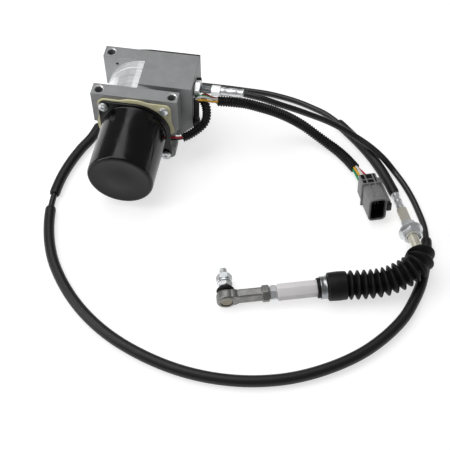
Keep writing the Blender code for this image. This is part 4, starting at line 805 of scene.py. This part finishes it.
# Ball stud with its washer, nut and dust boot; heights count from the ball
stud = {"ball": 4, "neck": 2.4, "shank": 3.7, "across": 13, "hexagonAt": 10.6, "hexagon": 5, "length": 32,
        "thread": 3.98, "pitch": 1.25, "threadDepth": 0.62, "washer": 2, "washerRadius": 7.2,
        "washerBore": 4.3, "slit": 0.8, "nut": 6.5, "nutBore": 4.2,
        "boot": [(2.75, 5.3), (5.6, 5.25), (7, 5.9), (8.3, 7), (8.6, 7.8), (8.3, 8.5), (7.2, 8.9), (6, 9.1),
                 (5.3, 9.5), (5, 10), (4.6, 10.25), (2.75, 10.25)]}


def makeStud(side):
    ball, r, neck, shank = rod["ball"], stud["ball"], stud["neck"], stud["shank"]
    start, end, length = stud["hexagonAt"], stud["hexagonAt"] + stud["hexagon"], stud["length"]
    profile = [(0, -r)] + arc(0, 0, r, -80, 50, 13)
    profile += [(neck, 3.4), (neck, start), (shank, start), (shank, end + 0.4), (0, end + 0.4)]
    core = lathe(profile, ball, side, 40)
    hexagon = hexPrism(stud["across"], start, end, ball, side, 10, 1.1)
    winding = threadRadius(stud["thread"], stud["pitch"], stud["threadDepth"], length - end)
    screw = sweep(straight(ball, side, end, length, 0.2), winding, 40)
    newPiece("ballStud", merged([core, hexagon, screw]), zincFinish, "stud", "ball_stud", 32)
    return end


def makeStudWasher(side, low):
    # A sprung washer with a slanted slit.
    ball, r, bore = rod["ball"], stud["washerRadius"], stud["washerBore"]
    high, half = low + stud["washer"], stud["slit"] / 2
    profile = [(bore, low), (r - 0.3, low), (r, low + 0.3), (r, high - 0.3), (r - 0.3, high), (bore, high)]
    slant = standing(ball, side, 100) @ Matrix.Rotation(0.3, 4, "X")
    slit = boxMesh((0, -half, low - 1), (10, half, high + 1), slant)
    ring = boolean(lathe(profile, ball, side, 60, loop=True), slit, "DIFFERENCE")
    newPiece("studWasher", ring, zincFinish, "stud", "stud_washer")
    return high


def makeStudNut(side, low):
    bore = stud["nutBore"]
    nut = hexPrism(stud["across"], low, low + stud["nut"], rod["ball"], side, 25, 1.2)
    nut = bored(nut, [(bore, low - 1), (bore, low + 5.8), (4.8, low + 7.5)], rod["ball"], side)
    newPiece("studNut", nut, dullZinc, "stud", "stud_nut", 30)


def makeBallJoint():
    side = level()
    hexagonEnd = makeStud(side)
    washerEnd = makeStudWasher(side, hexagonEnd + 0.3)
    makeStudNut(side, washerEnd + 0.3)
    boot = lathe(stud["boot"], rod["ball"], side, 60, loop=True)
    newPiece("dustBoot", boot, rubberFinish, "boot", "dust_boot", 60)


makeBallJoint()
print("far end made")


# Looms and wires
harness = {
    "main": [(79, 32.6, 59.2), (90, 34.6, 57.9), (104, 39.2, 53.8), (118, 42.8, 47.6), (131, 46.2, 41),
             (145, 49.2, 33), (158, 51, 24.5), (169, 50.6, 17.8), (180, 47.4, 12.2), (191, 42.4, 8.2),
             (201, 36.8, 6.4),
             (211.5, 28.4, 5.9), (219, 20.2, 6.4), (227.3, 9, 8)],
    "motor": [(63.6, 31.4, 60.4), (66.6, 28.8, 57), (68.4, 26, 52.5), (69.2, 22.6, 47.6), (68.6, 18.6, 43),
              (65.8, 14.9, 39.4), (61.2, 10.8, 36.4), (54.8, 5.8, 33.7), (47.6, 1.2, 32.2)],
    "mainPoints": 13, "motorPoints": 9, "wire": 1.2, "wireShown": 0.98, "orbit": 2.6, "motorOrbit": 1.7,
    "radius": 5.5, "motorRadius": 4.8, "wall": 1.4, "rib": 1.0, "ribPitch": 2.7}
# Each wire: its start, its turn inside the main loom in degrees, and its place across and above at the
# connector's rear. Two come from the motor: their turn in its loom, and the points between the two looms.
wireRuns = {
    "wire_white": {"start": [(57.8, 25.2, 65), (60.8, 26, 68.6), (67, 28.8, 66.2), (73.4, 31.4, 61.8)],
                   "turn": 0, "rear": (0.2, 4)},
    "wire_yellow": {"start": [(58.8, 24.4, 65), (63.2, 25.2, 65.6), (69.4, 28, 62.6), (74.4, 30, 59.4)],
                    "turn": 58, "rear": (-3, 2.6)},
    "wire_red": {"start": [(36.3, -0.3, 32.4), (39.2, -0.6, 33.3), (43, -1, 33.7)],
                 "motorTurn": 0, "between": [(62, 33.4, 64), (66, 34.6, 65.4), (72.4, 33.8, 62.2)],
                 "turn": -62, "rear": (4.4, 3.4)},
    "wire_black": {"start": [(36.1, -0.3, 28.8), (38.8, -0.5, 29.8), (42.4, -0.6, 30.8)],
                   "motorTurn": 180, "between": [(63.6, 35.4, 62.2), (68, 36.2, 61.6), (73.2, 34.8, 59.6)],
                   "turn": 180, "rear": (2, -3)},
    "wire_green": {"start": [(58.4, 26.4, 65), (61.8, 29.4, 67.2), (67.6, 31.2, 65), (73.6, 33, 61.4)],
                   "turn": 116, "rear": (-6, 0.6)}}
# The connector's origin is the middle of its ridge, and it is pitched so that the mouth looks up a little.
plug = {"at": (244.8, -28.2, 15), "turn": -71.5, "pitch": 11, "width": 18, "height": 27, "hood": 25,
        "rear": 17.5, "rearTop": 12.6, "rearBottom": -10.5, "wall": 1.5, "gap": 0.25,
        "rails": (5.4, -2.2), "ribs": (-2.9, 3.5),
        "grille": [(-16.3, -9, -7.4, -3.5), (-7.8, -2, -7.4, -3.5), (-16.3, -9, -2.4, 4), (-7.8, -2, -2.4, 4),
                   (-15.5, -2, 5.2, 7.2)],
        "towersAcross": (-3.6, 0, 3.6), "towersUp": (-6.5, 0, 6.5)}


def plugMatrix():
    turn = Matrix.Rotation(radians(plug["turn"]), 4, "Z") @ Matrix.Rotation(-radians(plug["pitch"]), 4, "Y")
    return Matrix.Translation(place(plug["at"])) @ turn


def ribbed(stations, name, node, size):
    # Corrugated loom: rounded ribs with narrow valleys, open ends.
    def radiusAt(s, turn):
        wave = 0.5 - 0.5 * cos(2 * pi * ((s / mm / harness["ribPitch"]) % 1))
        return (size - harness["rib"] * (1 - wave) ** 1.6) * mm
    line = finer(rounder(stations, 1 * mm), 0.33 * mm)
    mesh = sweep(line, radiusAt, 28, bore=(size - harness["wall"]) * mm)
    return newPiece(name, mesh, loomFinish, "body", node, 80)


def insideLoom(stations, turn, orbit, normal):
    # The line of one wire beside a loom's middle.
    line, turn, normal = [], radians(turn), Vector(normal)
    for index, point in enumerate(stations):
        ahead = wayAt(stations, index)
        normal = (normal - ahead * normal.dot(ahead)).normalized()
        offset = normal * cos(turn) + ahead.cross(normal) * sin(turn)
        line.append(point + offset * orbit * mm)
    return line


def wireLine(run, mainStations, motorStations):
    line = smoothLine(run["start"], len(run["start"]) + 1)
    if "motorTurn" in run:
        line += reversed(insideLoom(motorStations, run["motorTurn"], harness["motorOrbit"], (0, -1, 0)))
        line += [place(point) for point in run["between"]]
    line += insideLoom(mainStations, run["turn"], harness["orbit"], (0, 0, 1))
    entry = plugMatrix() @ (Vector((-plug["rear"] - 1, *run["rear"])) * mm)
    inside = plugMatrix() @ (Vector((-plug["rear"] + 3, *run["rear"])) * mm)
    line += [line[-1].lerp(entry, 0.5), entry, inside]
    return relaxed(rounder(line, 1.2 * mm), 8)


def makeHarness():
    mainStations = smoothLine(harness["main"], harness["mainPoints"])
    motorStations = smoothLine(harness["motor"], harness["motorPoints"])
    looms = [ribbed(mainStations, "mainLoom", "main_loom", harness["radius"]),
             ribbed(motorStations, "motorLoom", "motor_loom", harness["motorRadius"])]
    wires = []
    for name, run in wireRuns.items():
        path = wireLine(run, mainStations, motorStations)
        mesh = sweep(path, harness["wire"] * mm * harness["wireShown"], 14)
        piece = newPiece(name.replace("_", "") + "Lead", mesh, wireFinish[name], "body", name)
        wires.append((piece, path))
    return looms, wires, mainStations


looms, wires, loomLine = makeHarness()


# Connector, made of blocks in its own directions: along, across, up

def plugBlock(low, high, corner=0.3, segments=1):
    return boxMesh(low, high, plugMatrix(), corner, segments)


def addBlock(mesh, *block):
    return boolean(mesh, plugBlock(*block), "UNION")


def cutBlock(mesh, *block):
    return boolean(mesh, plugBlock(*block), "DIFFERENCE")


def makeShell():
    w, h, hood, rear, wall = plug["width"] / 2, plug["height"] / 2, plug["hood"], plug["rear"], plug["wall"]
    top, bottom = plug["rearTop"], plug["rearBottom"]
    shell = plugBlock((-rear, -w + 0.3, bottom), (2, w - 0.3, top), 1.4, 3)
    shell = addBlock(shell, (-0.9, -w - 1.2, -h - 0.2), (1, w + 1.2, h + 1.3), 0.9, 3)
    shell = addBlock(shell, (0, -w, -h), (hood + 5, w, h), 4.6, 6)
    shell = cutBlock(shell, (hood, -w - 4, -h - 4), (hood + 12, w + 4, h + 4), 0)
    for z in plug["rails"]:  # two rails of the latch, with the slot between them
        shell = addBlock(shell, (-rear + 1, w - 0.8, z - 1), (hood - 4, w + 4.4, z + 1), 0.4, 2)
    shell = addBlock(shell, (-rear + 1, w + 3.4, -3.2), (hood - 4, w + 4.8, 6.4), 0.4, 2)
    for y in plug["ribs"]:  # stiffening ribs on the upper face
        shell = addBlock(shell, (0.5, y - 0.65, h - 0.7), (hood - 5, y + 0.65, h + 0.7))
    shell = cutBlock(shell, (1.8, -2, h - 0.9), (8.5, 2.6, h + 2))
    shell = cutBlock(shell, (2, -w + wall, -h + wall), (hood + 9, w - wall, h - wall), 3.4, 5)
    shell = cutBlock(shell, (-rear - 3, -w + 0.3 + wall, bottom + wall), (6, w - 0.3 - wall, top - wall), 0.8)
    for near, end, left, right in plug["grille"]:  # open grille behind the ridge
        shell = cutBlock(shell, (near, left, top - 4), (end, right, top + 3), 0.2)
    newPiece("connectorShell", shell, shellFinish, "body", "connector_shell", 32)


def makeCarrier():
    # Black insert that lines the shell, with the contact towers in the mouth.
    hood, rear, liner = plug["hood"], plug["rear"], plug["wall"] + plug["gap"]
    w, h = plug["width"] / 2 - liner, plug["height"] / 2 - liner
    low, high = (-rear - 1.4, -w, plug["rearBottom"] + liner), (3, w, plug["rearTop"] - plug["wall"] - 0.6)
    core = plugBlock(low, high, 0.8, 2)
    core = addBlock(core, (2.4, -w, -h), (hood + 3, w, h), 3.2, 5)
    core = cutBlock(core, (hood - 0.8, -w - liner, -h - liner), (hood + 9, w + liner, h + liner), 0)
    core = cutBlock(core, (9, -w - plug["gap"] + 1.1, -h - plug["gap"] + 1.1),
                    (hood + 9, w + plug["gap"] - 1.1, h + plug["gap"] - 1.1), 2.6, 4)
    for y in plug["towersAcross"]:
        for z in plug["towersUp"]:
            core = addBlock(core, (8, y - 1.2, z - 1.6), (15, y + 1.2, z + 1.6))
    newPiece("contactCarrier", core, blackFinish, "body", "contact_carrier", 32)


def makeClip():
    w, hood = plug["width"] / 2, plug["hood"]
    clip = plugBlock((hood - 8.5, w + 0.7, -4.4), (hood - 0.8, w + 5.6, 5), 0.9, 3)
    clip = cutBlock(clip, (hood - 5.6, w + 4.4, -5), (hood - 3, w + 7, 6), 0.5, 2)
    newPiece("connectorClip", clip, blackFinish, "body", "connector_clip", 32)


makeShell()
makeCarrier()
makeClip()
print("harness made")


# Motor, gasket and screws
motor = {"canRadius": 33.6, "canX": -0.8, "taper": 0.5, "length": 73, "corner": 3.2, "flangeHalf": 36.2,
         "flangeBack": -2.2, "flangeThick": 3, "flangeCorner": 7, "axis": 41.5}
gasket = {"reach": 40, "overlap": 1.3, "ear": 5, "tuck": 35.6, "tuckCorner": 7, "front": -1.9, "back": -0.25}
screws = {"half": 30.6, "proudSeat": -5.5, "sunkSeat": -2.2, "recess": (20, 110)}


def makeMotor():
    front, end = motor["flangeBack"] - motor["flangeThick"], motor["length"]
    r, c = motor["canRadius"], motor["corner"]
    top = r - motor["taper"]
    profile = [(0, -front - 1), (r, -front - 1)]
    profile += [(r + 0.9, -front - 0.2), (r + 0.35, -front + 0.35), (r + 0.08, -front + 1.2),
                (r, -front + 2.2)]
    profile += [(r - motor["taper"] * 0.3, 28), (top, end - c)] + arc(top - c, end - c, c, 10, 90, 8)
    profile += [(top - c - 1.2, end), (top - c - 1.8, end - 0.25), (12, end - 0.25), (11.4, end - 0.1),
                (0, end - 0.1)]
    can = lathe(profile, (motor["canX"], 0, motor["axis"]), (0, -1, 0), 128)
    half, corner = motor["flangeHalf"], motor["flangeCorner"]
    radius = half + 0.2
    turn = degrees(acos(half / radius))
    quarter = arc(-half + corner, half - corner, corner, 180, 90, 12) + arc(0, 0, radius, 90 - turn, turn, 40)
    loop = [(x, z + motor["axis"]) for x, z in quarter + [(-x, -z) for x, z in quarter]]
    flange = softened(outlineMesh(loop, front, motor["flangeBack"]), 0.7, 3, 50)
    newPiece("paintedMotor", merged([can, flange]), paintFinish, "body", "motor_can", 45)


def gasketLoop():
    # Sealant squeezed out round the flange: full upper corners, tucked in at the lower right.
    big, ear, tuck, bend = gasket["reach"], gasket["ear"], gasket["tuck"], gasket["tuckCorner"]
    square, corner = motor["flangeHalf"] + gasket["overlap"], motor["flangeCorner"] + gasket["overlap"]
    leave = degrees(acos(square / big))
    loop = arc(-square + corner, square - corner, corner, 180, 90, 10)
    loop += arc(0, 0, big, 90 + leave, 90 - leave, 12)
    loop += arc(square - ear, square - ear, ear, 90, 0, 10) + arc(0, 0, big, leave, 0, 8) + [(tuck, -4)]
    loop += arc(tuck - bend, -tuck + bend, bend, 0, -90, 10)
    loop += arc(0, 0, big, -90 + leave, -90 - leave, 12)
    loop += arc(-square + ear, -square + ear, ear, -90, -180, 10)
    loop += arc(0, 0, big, -180 + leave, -180 - leave, 12)
    return [(x, z + motor["axis"]) for x, z in loop]


def makeGasket():
    mesh = softened(outlineMesh(gasketLoop(), gasket["front"], gasket["back"]), 0.55, 3, 50)
    newPiece("yellowGasket", mesh, gasketFinish, "body", "motor_gasket", 60)


def makeScrews():
    # Two sit on the flange's corners, two beside the flange on the gasket; a thin rim stands round each dome.
    half, forward = screws["half"], (0, -1, 0)
    head = [(0, -8), (2.4, -8), (2.4, 0)] + arc(4.4, 0.5, 0.5, -90, 0, 3)
    head += [(4.9, 1.3), (4.6, 2.05), (3.9, 2.7), (2.7, 3.1), (1.4, 3.2), (0, 3.2)]
    places = [(-half, half, "proudSeat"), (half, half, "sunkSeat"), (half, -half, "proudSeat"),
              (-half, -half, "sunkSeat")]
    for number, (x, z, seat) in enumerate(places, 1):
        at = (x, screws[seat], z + motor["axis"])
        mesh = lathe(head, at, forward, 48)
        for spin in screws["recess"]:
            slot = boxMesh((-2.4, -0.5, 1.5), (2.4, 0.5, 5), standing(at, forward, spin))
            mesh = boolean(mesh, slot, "DIFFERENCE")
        screw = merged([mesh, lathe([(4.9, 1.3), (4.9, 2.4)], at, forward, 48)])
        newPiece("panScrew%d" % number, screw, zincFinish, "body", "motor_screw_%d" % number, 32)


makeMotor()
makeGasket()
makeScrews()


# Fittings on the right wall; the riser's points count from the wall and from the sleeve's place
outlet = {"wall": 54.7, "y": 37, "z": 69, "nutAcross": 15.5, "nutWidth": 6, "nutBore": 4.2, "stud": 17,
          "thread": 4, "pitch": 1.25, "threadDepth": 0.62, "studBore": 1.4, "swivelAcross": 10, "swivel": 9.4,
          "end": 105, "ferruleRadius": 4.4, "grooveRadius": 4, "wireBore": 1.7, "plugY": 51, "plugZ": 66,
          "sleeveY": 24.6, "sleeveZ": 35, "bootRadius": 3.75, "bootLength": 15.4, "riserRadius": 3.05,
          "riser": [(3.4, 0, 23), (3.4, 0, 35), (3.4, 0, 46), (3.5, 0.3, 56), (3.6, 0.8, 65.6)]}
outward = (1, 0, 0)


def makeOutlet():
    wall = (outlet["wall"], outlet["y"], outlet["z"])
    nut = hexPrism(outlet["nutAcross"], 0.3, 0.3 + outlet["nutWidth"], wall, outward, 0, 1.2)
    nut = bored(nut, [(outlet["nutBore"], -2), (outlet["nutBore"], 6), (5, 8)], wall, outward)
    newPiece("bulkheadNut", nut, zincFinish, "body", "bulkhead_nut", 30)
    winding = threadRadius(outlet["thread"], outlet["pitch"], outlet["threadDepth"], 20)
    screw = sweep(straight(wall, outward, -3, outlet["stud"], 0.2), winding, 40, bore=outlet["studBore"] * mm)
    newPiece("outletStud", screw, dullZinc, "body", "cable_stud", 50)


def makeOutletFerrule():
    start = (outlet["wall"] + outlet["stud"] + 0.3, outlet["y"], outlet["z"])
    long, swivel = outlet["end"] - start[0], outlet["swivel"]
    r, groove, bore = outlet["ferruleRadius"], outlet["grooveRadius"], outlet["wireBore"]
    body = hexPrism(outlet["swivelAcross"], 0, swivel, start, outward, 0, 0.9)
    profile = [(0, swivel - 1), (4.1, swivel - 1), (4.1, swivel + 0.6)]
    profile += rounded(r, swivel + 0.6, swivel + 5, 0.3, 3) + [(groove, swivel + 5.5), (groove, swivel + 8.6)]
    profile += rounded(r, swivel + 9, long - 7, 0.3, 3) + [(groove, long - 6.4), (groove, long - 2)]
    profile += rounded(r, long - 1.6, long, 0.3, 3) + [(0, long)]
    shell = boolean(body, lathe(profile, start, outward, 48), "UNION")
    shell = bored(shell, [(bore, -1), (bore, long - 1.5)], start, outward, 24)  # room for the inner wire
    newPiece("cableFerrule", shell, zincFinish, "body", "cable_ferrule", 32)


def makeWallRubbers():
    x, sy = outlet["wall"], outlet["sleeveY"]
    button = [(0, -3.2), (2.6, -3.2), (2.6, 0.3)] + rounded(4, 0.3, 4.3, 1, 4)
    button += [(1.2, 4.3), (0.9, 3.8), (0, 3.8)]
    breather = lathe(button, (x, outlet["plugY"], outlet["plugZ"]), outward, 40)
    newPiece("breather", breather, rubberFinish, "body", "breather_plug")
    socket = [(0, -3), (2.8, -3), (2.8, 0.3)] + rounded(4.1, 0.3, 5.4, 1, 4) + [(3, 6.4), (0, 6.4)]
    elbow = lathe(socket, (x, sy, outlet["sleeveZ"]), outward, 40)
    route = [(x + out, sy + back, z) for out, back, z in outlet["riser"]]

    def riserRadius(s, turn):  # a fuller boot below, the plain sleeve above it
        return (outlet["bootRadius"] if s < outlet["bootLength"] * mm else outlet["riserRadius"]) * mm
    riser = sweep(rounder(smoothLine(route, 8), 0.8 * mm), riserRadius, 24)
    boot = merged([elbow, riser])
    newPiece("sensorLeadBoot", boot, rubberFinish, "body", "sensor_sleeve", 50)


makeOutlet()
makeOutletFerrule()
makeWallRubbers()
print("motor and outlet made")

# The main loom's line, with its points 1 mm apart
loomPath = rounder(loomLine, 1 * mm)

# Finishes on the solids that stay
keptFinishes = {
    "housing": castFinish, "rear_cover": coverFinish, "motor_end_cap": blackFinish,
    "motor_bearing": bearingFinish, "ring_magnet": ferriteFinish, "brush_1": ferriteFinish,
    "brush_2": ferriteFinish, "armature_core": gearFinish, "commutator": copperFinish,
    "motor_shaft": gearFinish, "ring_gear": gearFinish, "planet_gear_1": gearFinish,
    "planet_gear_2": gearFinish, "planet_gear_3": gearFinish, "planet_carrier": gearFinish,
    "carrier_bearing": bearingFinish, "output_shaft": gearFinish, "rack": gearFinish,
    "core_wire": bearingFinish, "position_sensor": blackFinish, "far_core": bearingFinish}
for name, finish in keptFinishes.items():
    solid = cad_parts[name]
    if len(solid.material_slots) == 0:
        solid.data.materials.append(finish)
    for slot in solid.material_slots:
        slot.material = finish


# Floor, backdrop and lamps; lengths here are in metres
studio = {"floor": 20, "floorDrop": 0.0003, "floorColour": 0.6, "floorRough": 0.9, "floorGlow": 0.66,
          "world": 0.19, "lampTarget": (0.09, -0.07, 0.02)}
lamps = {"overheadSoftbox": {"spot": (-0.32, 0.14, 1.22), "size": (1.4, 1.0), "power": 10},
         "leftSoftbox": {"spot": (-1.0, -0.5, 0.62), "size": (0.5, 0.9), "power": 4.8},
         "rightSoftbox": {"spot": (1.05, -0.3, 0.75), "size": (0.4, 0.9), "power": 0.1}}


def floorWhite():
    # White to the camera and in reflections, with the object's shadow kept.
    paint, nodes, links, shader = newPaint("floorWhite")
    feed(links, shader.inputs["Base Color"], (studio["floorColour"],) * 3)
    shader.inputs["Roughness"].default_value = studio["floorRough"]
    shader.inputs["Specular IOR Level"].default_value = 0
    path = nodes.new("ShaderNodeLightPath")
    seen = path.outputs["Is Camera Ray"]
    for kind in ("Is Glossy Ray", "Is Transmission Ray"):
        seen = arithmetic(nodes, links, "MAXIMUM", seen, path.outputs[kind])
    feed(links, shader.inputs["Emission Color"], (1, 1, 1))
    glow = arithmetic(nodes, links, "MULTIPLY", seen, studio["floorGlow"])
    links.new(glow, shader.inputs["Emission Strength"])
    return paint


def makeFloor():
    made = bmesh.new()
    bmesh.ops.create_grid(made, x_segments=2, y_segments=2, size=studio["floor"])
    bmesh.ops.translate(made, verts=made.verts, vec=(0, 0, -studio["floorDrop"]))
    floor = addObject("studioFloor", meshFrom(made, "floor"))
    floor.data.materials.append(floorWhite())


def addLamp(name, setup):
    data = bpy.data.lights.new(name, "AREA")
    data.shape = "RECTANGLE"
    data.size, data.size_y = setup["size"]
    data.energy = setup["power"]
    lamp = addObject(name, data)
    lamp.location = setup["spot"]
    pointAt(lamp, Vector(studio["lampTarget"]))


def makeWorld():
    world = bpy.data.worlds.new("studioWorld")
    bpy.context.scene.world = world
    world.use_nodes = True
    back = world.node_tree.nodes["Background"]
    back.inputs["Color"].default_value = (1, 1, 1, 1)
    back.inputs["Strength"].default_value = studio["world"]


makeFloor()
makeWorld()
for name, setup in lamps.items():
    addLamp(name, setup)
bpy.context.scene.view_settings.view_transform = "Standard"
print("studio made")
